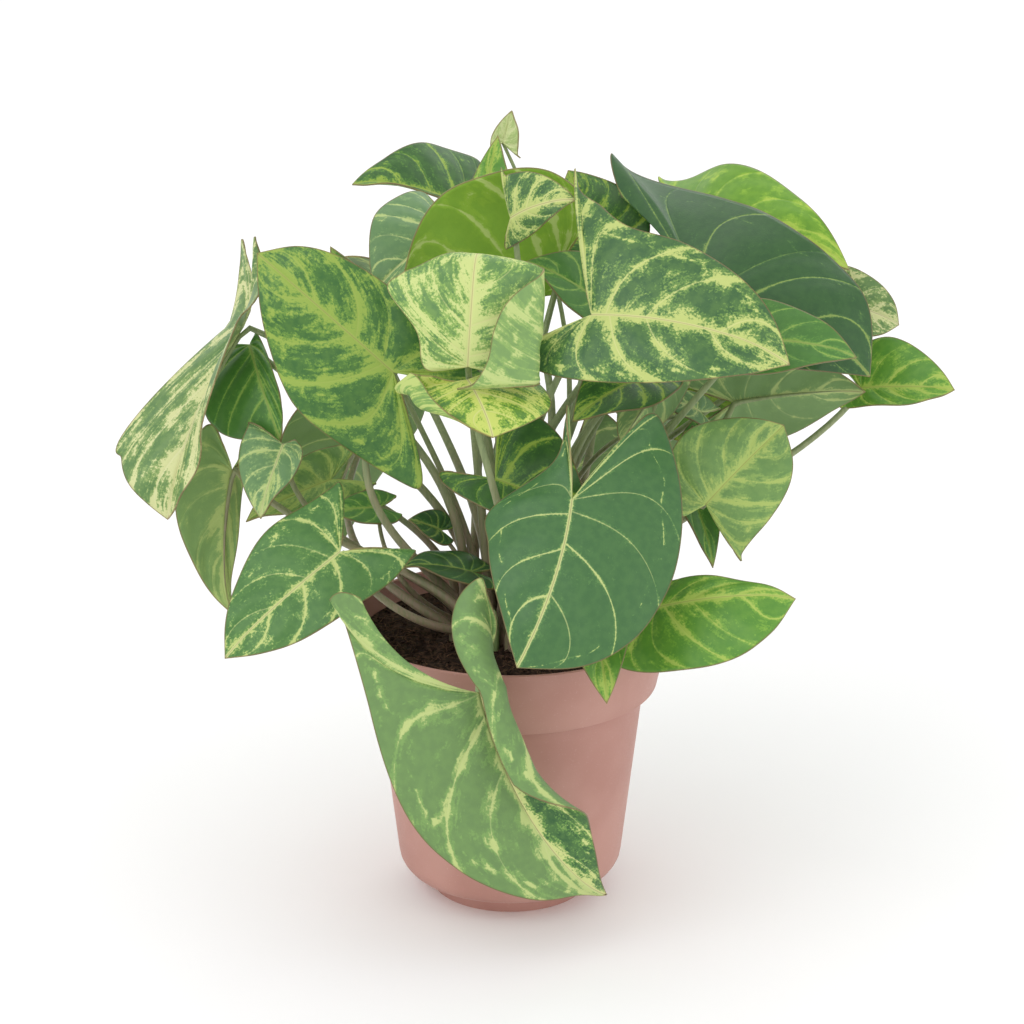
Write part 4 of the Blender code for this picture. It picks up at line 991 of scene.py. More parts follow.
class Blade:
    """The blade of one leaf: a flat outline bent along its midrib and across it."""

    rib_stations = 40
    tip_from, tip_span = 0.7, 0.3
    rib_from, rib_power = 0.5, 1.8
    hollow_bow, hollow_until, hollow_ease = 0.55, 0.7, 0.3
    opens_span = 0.45
    waves, hand_phase, name_phase = 3.5, 1.3, 0.7
    wave_start, wave_end = 0.2, 0.15

    def __init__(self, leaf: Leaf) -> None:
        """Bend the midrib and stand the blade in the view.

        Args:
            leaf: The leaf's row.
        """
        self.leaf = leaf
        droop, tip_droop, sway, twist = (
            math.radians(angle) for angle in (leaf.droop, leaf.tip_droop, leaf.sway, leaf.twist))
        ahead, side, up = np.eye(3)
        place = np.zeros(3)
        step = 1 / self.rib_stations
        stations = []
        for k in range(self.rib_stations + 1):
            stations.append((place, ahead, side, up))
            late = tip_droop / self.tip_span if (k + 0.5) * step > self.tip_from else 0.0
            for axis, angle in ((side, (droop + late) * step), (up, sway * step), (ahead, twist * step)):
                ahead, side, up = (turned(vector, axis, angle) for vector in (ahead, side, up))
            place = place + ahead * step
        self.places, self.aheads, self.sides, self.ups = (np.array(column) for column in zip(*stations))
        self.settle_at(0.0)

    def settle_at(self, nearer: float) -> None:
        """Put the blade where the view shows it.

        Args:
            nearer: How far it is moved towards the viewer, in millimetres.
        """
        self.nearer = nearer
        across, up, near = self.leaf.base
        self.base = VIEW.seen(across, up, near + nearer)
        across, up, near = self.leaf.tip
        chord = VIEW.seen(across, up, near + nearer) - self.base
        own = self.axes_of(self.places[-1], self.ups[self.rib_stations // 2])
        world = self.axes_of(chord, VIEW.direction(*self.leaf.face))
        self.length = np.linalg.norm(chord) / np.linalg.norm(self.places[-1])
        self.turn = world @ own.T

    @staticmethod
    def axes_of(chord: np.ndarray, face: np.ndarray) -> np.ndarray:
        """Set up axes, one a column: along a chord, across it, and up towards a direction."""
        ahead = unit(chord)
        up = unit(face - ahead * (face @ ahead))
        return np.column_stack((ahead, np.cross(up, ahead), up))

    def flat(self, share: np.ndarray, reach: np.ndarray, hand: int) -> tuple[np.ndarray, np.ndarray]:
        """Find places on the flat blade.

        Args:
            share: Places along the outline, 0 at the sinus and 1 at the tip.
            reach: How far out each one is, 0 on the midrib and 1 on the margin.
            hand: 0 for the left half, 1 for the right.

        Returns:
            How far ahead and how far out each place is, for a midrib of length 1.
        """
        margin = through(self.leaf.half_outline(hand), share)
        rib = ramp(share, self.rib_from, 1 - self.rib_from) ** self.rib_power
        bowed = (self.hollow_bow * self.leaf.hollow[hand] * reach * (1 - reach)
                 * ramp(share, self.hollow_until, -self.hollow_ease))
        return (rib + (margin[:, 0] - rib) * reach + bowed * margin[:, 1],
                np.maximum(margin[:, 1] * reach - bowed * margin[:, 0], 0))

    def between(self, share: np.ndarray, *rows: np.ndarray) -> tuple[np.ndarray, ...]:
        """Read rows with an entry for each station.

        Args:
            share: Places along the midrib, 0 at the base and 1 at the tip.
            *rows: The rows.

        Returns:
            Each row's entries at the places.
        """
        station = share * self.rib_stations
        low = np.minimum(station.astype(int), self.rib_stations - 1)
        part = (station - low)[:, None]
        return tuple(row[low] * (1 - part) + row[low + 1] * part for row in rows)

    def points(self, share: np.ndarray, reach: np.ndarray, hand: int) -> np.ndarray:
        """Find world points of the blade's middle surface.

        Args:
            share: Places along the outline.
            reach: How far out each one is.
            hand: 0 for the left half, 1 for the right.

        Returns:
            The points.
        """
        leaf = self.leaf
        x, y = self.flat(share, reach, hand)
        sign = 1.0 if hand == 0 else -1.0
        place, ahead, side, up = self.between(
            np.clip(x, 0, 1), self.places, self.aheads, self.sides, self.ups)
        back = np.maximum(-x, 0)
        lift = math.radians(leaf.lift[hand]) / leaf.lobe_back[hand]
        behind, rise = arc(back, 0.0, lift)
        place = place - ahead * behind[:, None] + up * rise[:, None]
        lean = (lift * back)[:, None]
        up = up * np.cos(lean) + ahead * np.sin(lean)
        eased = 1 + (leaf.opens[hand] - 1) * ramp(x, leaf.opens_at, self.opens_span)
        fold = math.radians(leaf.fold[hand])
        bend = math.radians(leaf.curl[hand]) / leaf.width[hand]
        roll = math.radians(leaf.roll[hand])
        start = leaf.roll_at[hand] * leaf.width[hand]
        if leaf.hemmed:
            start = leaf.roll_at[hand] * through(leaf.half_outline(hand), share)[:, 1]
        out, raised, angle = rolled(y, fold * eased, bend * eased, roll * eased, start)
        angle = angle[:, None]
        normal = up * np.cos(angle) - side * sign * np.sin(angle)
        phase = FULL_TURN * self.waves * share + self.hand_phase * hand + self.name_phase * len(leaf.name)
        ripple = leaf.wave * reach ** 2 * np.sin(phase)
        ripple = ripple * ramp(share, 0, self.wave_start) * ramp(share, 1, -self.wave_end)
        spot = place + side * (sign * out)[:, None] + up * raised[:, None] + normal * ripple[:, None]
        if leaf.lobe_twist[hand]:
            behind, rise = arc(leaf.lobe_back[hand], 0.0, lift)
            out, raised, _ = rolled(leaf.lobe_out[hand], fold, bend, roll, start)
            axis = unit(np.array((-behind, sign * out, rise + raised)))
            turn = math.radians(leaf.lobe_twist[hand]) * sign * np.clip(back / leaf.lobe_back[hand], 0, 1)
            spot = turned(spot, axis, turn)
        return self.base + (spot * self.length) @ self.turn.T

    def rib_points(self, shares: np.ndarray, sunk: np.ndarray) -> np.ndarray:
        """World points under the midrib, at shares of its length and sunk below the middle surface."""
        place, up = self.between(shares, self.places, self.ups)
        return self.base + (place * self.length) @ self.turn.T - (up @ self.turn.T) * sunk[:, None]

    def facing(self) -> np.ndarray:
        """Direction out of the upper face at the base."""
        return self.turn @ self.ups[0]

    def ahead(self) -> np.ndarray:
        """Direction of the midrib at the base."""
        return self.turn @ self.aheads[0]


def by_length(counts: Sequence[tuple[float, int]], blade: Blade) -> int:
    """Pick the count of the first length that a blade is longer than."""
    return next(count for length, count in counts if blade.length > length)


class Surface:
    """The middle surface that a blade's CAD solid has, to measure distances to."""

    first_share = 0.2
    stations = ((62.0 * MM, 10), (36.0 * MM, 9), (0.0, 6))
    reaches = (0.0, 0.5, 1.0)
    rolled_stations = 3
    rolled_reaches = (0.0, 0.3, 0.5, 0.66, 0.82, 1.0)
    rolled_curl = 60.0
    blade_space = 2.2 * MM
    contact = 2 * MM

    def __init__(self, blade: Blade) -> None:
        """Lay the surface out in the cells that the solid has.

        Args:
            blade: The blade.
        """
        stations = by_length(self.stations, blade)
        reaches = self.reaches
        if max(np.abs(np.add(blade.leaf.curl, blade.leaf.roll))) > self.rolled_curl:
            stations, reaches = stations + self.rolled_stations, self.rolled_reaches
        share = np.linspace(self.first_share, 1, stations + 1)
        corners: list[np.ndarray] = []
        cells = []
        for hand in (0, 1):
            for row, reach in enumerate(reaches):
                first = len(corners)
                corners.extend(blade.points(share, np.full(share.shape, reach), hand))
                for k in range(stations if row else 0):
                    inner = first - stations - 1 + k
                    cell = (inner, inner + 1, first + k + 1, first + k)
                    cells.append(cell if hand == 1 else cell[::-1])
        self.corners = np.array(corners)
        self.tree = BVHTree.FromPolygons(self.corners.tolist(), cells)
        self.low = self.corners.min(axis=0)
        self.high = self.corners.max(axis=0)

    def within(self, points: np.ndarray, space: float) -> np.ndarray:
        """Indices of the points in the surface's box, grown by a space."""
        return np.flatnonzero(np.all((points > self.low - space) & (points < self.high + space), axis=1))

    def distance(self, point: np.ndarray, most: float) -> float:
        """Distance of a point from the surface, or the most that is told apart."""
        found = self.tree.find_nearest(point, most)
        return most if found[3] is None else found[3]

    def in_front(self, other: "Surface") -> float:
        """Tell which of two surfaces is nearer to the viewer.

        Args:
            other: The other surface.

        Returns:
            1.0 where this one is nearer, or else -1.0.
        """
        total = 0.0
        for corner in self.corners:
            found = other.tree.find_nearest(corner)
            total += (corner - np.array(found[0])) @ VIEW.near / (found[3] + self.contact)
        return 1.0 if total > 0 else -1.0

    def crowds(self, other: "Surface") -> bool:
        """Tell whether two surfaces cross, or come closer than two leaves should.

        Args:
            other: The other surface.

        Returns:
            Whether they do.
        """
        space = self.blade_space
        if np.any(self.low - space > other.high) or np.any(other.low - space > self.high):
            return False
        if self.tree.overlap(other.tree):
            return True
        for one, two in ((self, other), (other, self)):
            for index in two.within(one.corners, space):
                if two.distance(one.corners[index], space) < space:
                    return True
        return False


@dataclass
class Crown:
    """Where the leaves stand: blades parted from each other, roots in the soil, and courses of the stalks."""

    soil_top: float
    settle_step: float = 0.8
    settle_rounds: int = 60
    spacing: float = 3.35 * MM
    golden_angle: float = math.radians(137.508)
    low_radius: float = 2.15 * MM
    top_radius: float = 1.15 * MM
    end_radius: float = 0.3 * MM
    buried: float = 12.0 * MM
    upright: float = 7.0 * MM
    space: float = 0.9 * MM
    looks: int = 50
    solid_thickness: float = 0.8 * MM
    bow_sizes: tuple[float, ...] = (0.0, 5.0, 10.0, 15.0, 20.0, 27.0, 35.0)
    bow_turns: int = 10
    sweeps: int = 4
    arrive_turns: tuple[float, ...] = (0.0, 25.0, -25.0, 45.0)
    first_root: float = 0.4
    slimming: float = 0.6
    handle: float = 0.36
    taper: float = 0.6
    run_out: float = 0.4 * MM
    most_room: float = 4 * MM
    own_blade_from: float = 0.8
    blades: list[Blade] = field(default_factory=list)
    roots: dict[str, np.ndarray] = field(default_factory=dict)
    courses: dict[str, tuple] = field(default_factory=dict)

    def grow(self, leaves: Sequence[Leaf]) -> None:
        """Place every blade, root and stalk.

        Args:
            leaves: The rows of all leaves.
        """
        self.blades = [Blade(leaf) for leaf in leaves]
        self.settle()
        self.root()
        self.lead()

    def settle(self) -> None:
        """Part crossing blades towards and away from the viewer, which leaves the front view as it is."""
        surfaces = [Surface(blade) for blade in self.blades]
        pairs = list(combinations(range(len(surfaces)), 2))
        order: dict[tuple, float] = {}
        crowded: dict[tuple, bool] = {}
        moved = set(range(len(surfaces)))
        for _ in range(self.settle_rounds):
            moves = np.zeros(len(surfaces))
            for pair in pairs:
                one, two = pair
                if one in moved or two in moved:
                    crowded[pair] = surfaces[one].crowds(surfaces[two])
                if crowded[pair]:
                    if pair not in order:
                        order[pair] = surfaces[one].in_front(surfaces[two])
                    moves[one] += order[pair]
                    moves[two] -= order[pair]
            moved = set(np.flatnonzero(moves))
            if not moved:
                break
            for index in moved:
                blade = self.blades[index]
                blade.settle_at(blade.nearer + math.copysign(self.settle_step, moves[index]))
                surfaces[index] = Surface(blade)

    def root(self) -> None:
        """Give each blade a free place in the soil: steep stalks in the middle, flat ones outside."""
        turns = np.arange(len(self.blades)) * self.golden_angle
        radii = self.spacing * np.sqrt(np.arange(len(self.blades)) + self.first_root)
        free = list(np.column_stack((radii * np.cos(turns), radii * np.sin(turns))))
        middle = np.array((0.0, 0.0, self.soil_top))
        towards = [blade.base - middle for blade in self.blades]
        order = np.argsort([vector[2] / np.linalg.norm(vector[:2]) for vector in towards])[::-1]
        for rank, index in enumerate(order):
            wished = unit(towards[index][:2]) * self.spacing * math.sqrt(rank + self.first_root)
            nearest = min(range(len(free)), key=lambda k: np.linalg.norm(free[k] - wished))
            self.roots[self.blades[index].leaf.name] = free.pop(nearest)

    def stalk_path(self, blade: Blade, count: int, bow: np.ndarray,
                   arrive: float) -> tuple[np.ndarray, np.ndarray]:
        """Draw a stalk from under the soil to the underside of its blade.

        Args:
            blade: The blade.
            count: How many points the free part has.
            bow: How far its middle is bent aside.
            arrive: Angle above level at which it meets the blade, in degrees.

        Returns:
            The points, and the radius at each.
        """
        leaf, root = blade.leaf, self.roots[blade.leaf.name]
        top = self.top_radius * leaf.slim
        low = self.low_radius * (1 - self.slimming + self.slimming * leaf.slim)
        foot = np.array((root[0], root[1], self.soil_top - self.buried))
        start = np.array((root[0], root[1], self.soil_top + self.upright))
        outward = blade.base - start
        level = unit(np.array((outward[0], outward[1], 0.0)) + 1e-9)
        rise = math.radians(arrive)
        arriving = level * math.cos(rise) + np.array((0.0, 0.0, math.sin(rise)))
        size = np.linalg.norm(outward)
        end = blade.base - blade.facing() * 2.0 * top - blade.ahead() * top
        first = start + np.array((0.0, 0.0, self.handle * size)) + bow
        second = end - arriving * self.handle * size + bow
        share = np.linspace(0, 1, count)[:, None]
        curve = ((1 - share) ** 3 * start + 3 * (1 - share) ** 2 * share * first
                 + 3 * (1 - share) * share ** 2 * second + share ** 3 * end)
        path = np.vstack((foot, curve, blade.base + blade.ahead() * self.run_out))
        tapering = low + (top - low) * share[:, 0] ** self.taper
        return path, np.concatenate(((low,), tapering, (self.end_radius,)))

    def bows(self, blade: Blade) -> Iterator[np.ndarray]:
        """List the bends that a stalk may take, the slightest first.

        Args:
            blade: The blade.

        Yields:
            How far its middle is moved aside.
        """
        root = self.roots[blade.leaf.name]
        chord = unit(blade.base - np.array((root[0], root[1], self.soil_top)))
        side = unit(np.cross(chord, VIEW.near))
        back = np.cross(side, chord)
        for size in self.bow_sizes:
            for turn in range(self.bow_turns if size else 1):
                angle = FULL_TURN * turn / self.bow_turns
                yield (side * math.cos(angle) + back * math.sin(angle)) * size * MM

    def room(self, path: np.ndarray, radius: np.ndarray, blade: Blade, surfaces: dict[str, Surface],
             stalks: list[tuple], enough: float) -> float:
        """Measure the space round a stalk.

        Args:
            path: Its points.
            radius: Its radius at each.
            blade: The blade it carries.
            surfaces: The surfaces of all blades.
            stalks: Points and radii of the other stalks.
            enough: Below this any value will do.

        Returns:
            The smallest space.
        """
        least = self.most_room
        if stalks:
            other = np.vstack([points for points, _ in stalks])
            sizes = np.concatenate([sizes for _, sizes in stalks])
            squares = ((path ** 2).sum(axis=1)[:, None] + (other ** 2).sum(axis=1)[None]
                       - 2 * path @ other.T)
            between = np.sqrt(np.maximum(squares, 0)) - radius[:, None] - sizes[None]
            least = min(least, between.min())
        if least < enough:
            return least
        for name, surface in surfaces.items():
            most = least + radius.max() + self.solid_thickness / 2
            for index in surface.within(path, most):
                if name == blade.leaf.name and index > self.own_blade_from * len(path):
                    continue
                around = radius[index] + self.solid_thickness / 2
                least = min(least, surface.distance(path[index], most) - around)
                if least < enough:
                    return least
        return least

    def best_course(self, blade: Blade, surfaces: dict[str, Surface], stalks: list[tuple]) -> tuple:
        """Choose the bow and the angle of arrival of a stalk.

        Args:
            blade: The blade it carries.
            surfaces: The surfaces of all blades.
            stalks: Points and radii of the other stalks.

        Returns:
            The first bow and angle that keep it clear, or the ones that leave it most room.
        """
        best: tuple = (-1.0, None, None)
        for turn in self.arrive_turns:
            arrive = blade.leaf.arrive + turn
            for bow in self.bows(blade):
                path, radius = self.stalk_path(blade, self.looks, bow, arrive)
                space = self.room(path[1:-1], radius[1:-1], blade, surfaces, stalks, best[0])
                if space > best[0]:
                    best = (space, bow, arrive)
                if space > self.space:
                    return best[1:]
        return best[1:]

    def lead(self) -> None:
        """Choose every stalk's course, so that it keeps clear of what is round it."""
        surfaces = {blade.leaf.name: Surface(blade) for blade in self.blades}
        stalks: dict[str, tuple] = {}
        for _ in range(self.sweeps):
            for blade in self.blades:
                name = blade.leaf.name
                others = [stalk for other, stalk in stalks.items() if other != name]
                if name in stalks:
                    path, radius = stalks[name]
                    if self.room(path, radius, blade, surfaces, others, self.space) > self.space:
                        continue
                self.courses[name] = self.best_course(blade, surfaces, others)
                path, radius = self.stalk_path(blade, self.looks, *self.courses[name])
                stalks[name] = (path[1:-1], radius[1:-1])


# --- pieces ---


def linked(name: str, data: bpy.types.ID | None) -> bpy.types.Object:
    """Put a new object with its data in the scene."""
    made = bpy.data.objects.new(name, data)
    bpy.context.scene.collection.objects.link(made)
    return made


def written(shape: bmesh.types.BMesh, name: str) -> bpy.types.Mesh:
    """Write a bmesh to a new mesh and free it."""
    mesh = bpy.data.meshes.new(name)
    shape.to_mesh(mesh)
    shape.free()
    return mesh


def taken(draft: bpy.types.Object) -> bmesh.types.BMesh:
    """Take a draft's final shape as a bmesh and remove the draft."""
    bpy.context.view_layer.update()
    mesh = bpy.data.meshes.new_from_object(draft.evaluated_get(bpy.context.evaluated_depsgraph_get()))
    bpy.data.objects.remove(draft)
    shape = bmesh.new()
    shape.from_mesh(mesh)
    return shape


def tube_line(name: str, sides: int) -> bpy.types.Curve:
    """Start a curve that becomes a tube, with a radius at each of its points."""
    curve = bpy.data.curves.new(name, "CURVE")
    curve.dimensions = "3D"
    curve.bevel_depth = 1.0
    curve.bevel_resolution = sides
    return curve


def spun(profile: Sequence[tuple[float, float]], steps: int, gap: int | None = None) -> bmesh.types.BMesh:
    """Spin a profile about the pot's axis into a closed shell whose faces point outwards.

    Args:
        profile: Radii and heights.
        steps: How many steps the full turn has.
        gap: Place after which the profile is open, where it closes from its end to its start instead.

    Returns:
        The shell.
    """
    shape = bmesh.new()
    verts = [shape.verts.new((radius, 0.0, height)) for radius, height in profile]
    line = [shape.edges.new((verts[k], verts[k + 1])) for k in range(len(verts) - 1) if k != gap]
    if gap is not None:
        line.append(shape.edges.new((verts[-1], verts[0])))
    bmesh.ops.spin(shape, geom=verts + line, cent=(0, 0, 0), axis=(0, 0, 1), angle=FULL_TURN, steps=steps,
                   use_merge=True, use_duplicate=False)
    bmesh.ops.remove_doubles(shape, verts=shape.verts, dist=MERGED)
    bmesh.ops.recalc_face_normals(shape, faces=shape.faces)
    return shape


def new_piece(name: str, mesh: bpy.types.Mesh, surfaces: Sequence[bpy.types.Material],
              nodes: Sequence[str]) -> bpy.types.Object:
    """Put a finished mesh in the scene as a piece of the object.

    Args:
        name: Name of the piece.
        mesh: Its mesh, in place.
        surfaces: Its materials.
        nodes: CAD nodes that it stands for.

    Returns:
        The piece.
    """
    piece = linked(name, mesh)
    for surface in surfaces:
        mesh.materials.append(surface)
    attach(piece, "root")
    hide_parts(*nodes)
    return piece


def finished(shape: bmesh.types.BMesh, name: str, sharp: float = 35.0) -> bpy.types.Mesh:
    """Turn a bmesh into a smooth mesh with its sharper edges kept.

    Args:
        shape: The bmesh, which is freed.
        name: Name of the mesh.
        sharp: Angle from which an edge stays sharp, in degrees.

    Returns:
        The mesh.
    """
    mesh = written(shape, name)
    mesh.polygons.foreach_set("use_smooth", [True] * len(mesh.polygons))
    mesh.set_sharp_from_angle(angle=math.radians(sharp))
    return mesh


@dataclass
class LeafMaker:
    """Makes the shown blade and stalk of a leaf."""

    effects: Effects
    crown: Crown
    first_share: float = 0.08
    cells_along: tuple[tuple[float, int], ...] = ((58.0 * MM, 96), (36.0 * MM, 72), (0.0, 48))
    cells_across: tuple[tuple[float, int], ...] = ((58.0 * MM, 26), (36.0 * MM, 20), (0.0, 14))
    cells_rolled: int = 36
    lane_pitch: float = 0.124
    lane_first: float = 0.125
    lane_bend: float = 0.085
    lane_wander: float = 0.02
    lane_waves: tuple[tuple[float, float, float, float], ...] = ((9.0, 2.3, 1, 0.5), (21.0, -3.1, 2, 0.3))
    lanes_a_half: int = 8
    thickness: float = 0.55 * MM
    quilt: float = 0.5 * MM
    full_quilt_length: float = 60 * MM
    quilt_reach: tuple[tuple[float, float], ...] = ((0.0, 0.2), (0.92, -0.25))
    quilt_share: tuple[tuple[float, float], ...] = ((0.15, 0.2), (1.0, -0.12))
    small: float = 0.004
    stalk_points: int = 26
    stalk_sides: int = 4
    ridge_ends: tuple[float, float] = (0.05, 0.8)
    ridge_points: int = 12
    ridge_radius: tuple[float, float] = (0.8, 0.72)
    ridge_sunk: float = 0.15 * MM

    def lanes(self, blade: Blade, share: np.ndarray, reach: np.ndarray, hand: int) -> np.ndarray:
        """Number the lateral veins across the blade, a whole number on each vein.

        Args:
            blade: The blade.
            share: Places along the outline.
            reach: How far out each one is.
            hand: 0 for the left half, 1 for the right.

        Returns:
            The vein number at each place.
        """
        seed = sum(map(ord, blade.leaf.name)) % 17 + 3.1 * hand
        wander = sum(np.sin(by_share * share + by_reach * reach + by_seed * seed) * size
                     for by_share, by_reach, by_seed, size in self.lane_waves)
        place = share - self.lane_bend * reach ** 3 + self.lane_wander * wander - self.lane_first
        return place / self.lane_pitch + self.lanes_a_half * hand

    def maps(self, blade: Blade, share: np.ndarray, reach: np.ndarray, hand: int) -> tuple[np.ndarray, ...]:
        """Measure the blade at each place.

        Args:
            blade: The blade.
            share: Places along the outline.
            reach: How far out each one is.
            hand: 0 for the left half, 1 for the right.

        Returns:
            World points, outward normals, and the UV maps lane, flat and gauge.
        """
        low, high = np.maximum(share - self.small, 0.001), np.minimum(share + self.small, 0.999)
        by_share = (blade.points(high, reach, hand) - blade.points(low, reach, hand)) / (high - low)[:, None]
        lane_s = (self.lanes(blade, high, reach, hand) - self.lanes(blade, low, reach, hand)) / (high - low)
        low, high = np.maximum(reach - self.small, 0.0), np.minimum(reach + self.small, 1.0)
        by_reach = (blade.points(share, high, hand) - blade.points(share, low, hand)) / (high - low)[:, None]
        lane_r = (self.lanes(blade, share, high, hand) - self.lanes(blade, share, low, hand)) / (high - low)
        e, f, g = (by_share ** 2).sum(1), (by_share * by_reach).sum(1), (by_reach ** 2).sum(1)
        area = np.maximum(e * g - f ** 2, 1e-14)
        steepness = g * lane_s ** 2 - 2 * f * lane_s * lane_r + e * lane_r ** 2
        lane_width = np.sqrt(area / np.maximum(steepness, 1e-12))
        half_width = np.sqrt(area / np.maximum(e, 1e-12))
        normal = np.cross(by_share, by_reach) * (1.0 if hand == 0 else -1.0)
        normal = normal / np.maximum(np.linalg.norm(normal, axis=1), 1e-12)[:, None]
        x, y = blade.flat(share, reach, hand)
        flat = np.column_stack((x, y if hand == 0 else -y)) * blade.length * CM_PER_M
        lane = np.column_stack((self.lanes(blade, share, reach, hand), reach))
        gauge = np.column_stack((lane_width, half_width)) * CM_PER_M
        return blade.points(share, reach, hand), normal, lane, flat, gauge

    def blade_mesh(self, blade: Blade) -> bpy.types.Mesh:
        """Make the blade's middle surface, quilted between its veins.

        Args:
            blade: The blade.

        Returns:
            The mesh, with its three UV maps.
        """
        along = by_length(self.cells_along, blade)
        across = by_length(self.cells_across, blade)
        if any(blade.leaf.roll):
            across = self.cells_rolled
        shape = bmesh.new()
        for hand in (0, 1):
            made = bmesh.ops.create_grid(shape, x_segments=along, y_segments=across, size=0.5,
                                         matrix=Matrix.Translation((0.5, 0.5, float(hand))))
            if hand == 1:
                faces = list({face for vert in made["verts"] for face in vert.link_faces})
                bmesh.ops.reverse_faces(shape, faces=faces)
        mesh = written(shape, blade.leaf.name)
        spots = np.empty(len(mesh.vertices) * 3)
        mesh.vertices.foreach_get("co", spots)
        spots = spots.reshape(-1, 3)
        hollow = np.array(blade.leaf.hollow)[np.round(spots[:, 2]).astype(int)] > 0
        first = np.where(hollow, Surface.first_share, self.first_share)
        share = first + (1 - first) * spots[:, 0]
        reach = spots[:, 1]
        columns = [np.zeros((len(spots), size)) for size in (3, 3, 2, 2, 2)]
        for hand in (0, 1):
            own = np.flatnonzero(np.round(spots[:, 2]) == hand)
            for column, found in zip(columns, self.maps(blade, share[own], reach[own], hand)):
                column[own] = found
        place, normal, lane, flat, gauge = columns
        bulge = 0.5 - 0.5 * np.cos(FULL_TURN * lane[:, 0])
        window = 1.0
        for measure, ramps in ((reach, self.quilt_reach), (share, self.quilt_share)):
            for start, span in ramps:
                window = window * ramp(measure, start, span)
        grown = min(blade.length / self.full_quilt_length, 1.0)
        place = place + normal * (self.quilt * grown * bulge * window)[:, None]
        mesh.vertices.foreach_set("co", place.ravel())
        corners = np.empty(len(mesh.loops), int)
        mesh.loops.foreach_get("vertex_index", corners)
        for name, column in (("lane", lane), ("flat", flat), ("gauge", gauge)):
            layer = mesh.uv_layers.new(name=name)
            layer.uv.foreach_set("vector", column[corners].ravel())
        shape = bmesh.new()
        shape.from_mesh(mesh)
        bmesh.ops.remove_doubles(shape, verts=shape.verts, dist=MERGED)
        bmesh.ops.recalc_face_normals(shape, faces=shape.faces)
        near = min(shape.faces, key=lambda face: (face.calc_center_median() - Vector(blade.base)).length)
        if near.normal.dot(Vector(blade.facing())) < 0:
            bmesh.ops.reverse_faces(shape, faces=shape.faces)
        bpy.data.meshes.remove(mesh)
        return finished(shape, blade.leaf.name + "_blade", 180.0)

    def stalk_mesh(self, blade: Blade) -> bpy.types.Mesh:
        """Make the stalk, which runs on as the raised midrib under the blade.

        Args:
            blade: The blade.

        Returns:
            The mesh.
        """
        path, radius = self.crown.stalk_path(blade, self.stalk_points, *self.crown.courses[blade.leaf.name])
        top = self.crown.top_radius * blade.leaf.slim
        shares = np.linspace(*self.ridge_ends, self.ridge_points)
        thin = top * (self.ridge_radius[0] - self.ridge_radius[1] * shares / self.ridge_ends[1])
        ridge = blade.rib_points(shares, self.ridge_sunk + thin * 0.75)
        path = np.vstack((path[:-1], ridge))
        radius = np.concatenate((radius[:-1], thin))
        curve = tube_line(blade.leaf.name, self.stalk_sides)
        curve.use_fill_caps = True
        spline = curve.splines.new("POLY")
        spline.points.add(len(path) - 1)
        for point, place, size in zip(spline.points, path, radius):
            point.co = (*place, 1.0)
            point.radius = size
        shape = taken(linked("stalk_line", curve))
        bmesh.ops.remove_doubles(shape, verts=shape.verts, dist=0.001 * MM)
        bmesh.ops.recalc_face_normals(shape, faces=shape.faces)
        return finished(shape, blade.leaf.name + "_stalk", 60.0)

    def build(self, blade: Blade, slot: str, stalk_surface: bpy.types.Material) -> None:
        """Build one leaf.

        Args:
            blade: The blade.
            slot: Material slot of the record. It is not used.
            stalk_surface: Material of the stalk.
        """
        name = blade.leaf.name
        seed = float(sum(map(ord, name)) % 97)
        look: LeafFinish = blade.leaf.look.value
        surfaces = [look.material(name + "_upper", seed, self.effects),
                    look.underside().material(name + "_lower", seed, self.effects)]
        leaf = new_piece(name + "_blade", self.blade_mesh(blade), surfaces, [name])
        solidify = leaf.modifiers.new("Thickness", "SOLIDIFY")
        solidify.thickness = self.thickness
        solidify.offset = 0.0
        solidify.material_offset = 1
        new_piece(name + "_stalk", self.stalk_mesh(blade), [stalk_surface], [name])
        LOG.info("leaf %s: %d blade faces", name, len(leaf.data.polygons))


@dataclass
class Foliage:
    """All leaves of the plant."""

    effects: Effects
    soil_top: float
    record: dict

    def slots(self) -> dict[str, str]:
        """Slot name of every node, from the record."""
        rows = self.record.get("materials", [])
        return {node: row["slot"] for row in rows for node in row.get("nodes", [])}

    def build(self) -> None:
        """Grow the crown and build every leaf."""
        crown = Crown(self.soil_top)
        crown.grow(LEAVES)
        LOG.info("crown grown: %d leaves", len(crown.blades))
        maker = LeafMaker(self.effects, crown)
        slots = self.slots()
        brown = StalkFinish().material("stalk_brown")
        pale = StalkFinish(low=tone(150, 178, 118), high=tone(160, 186, 116)).material("stalk_pale")
        for blade in crown.blades:
            surface = pale if blade.leaf.name == "front_drape" else brown
            maker.build(blade, slots.get(blade.leaf.name, "leaf_green"), surface)


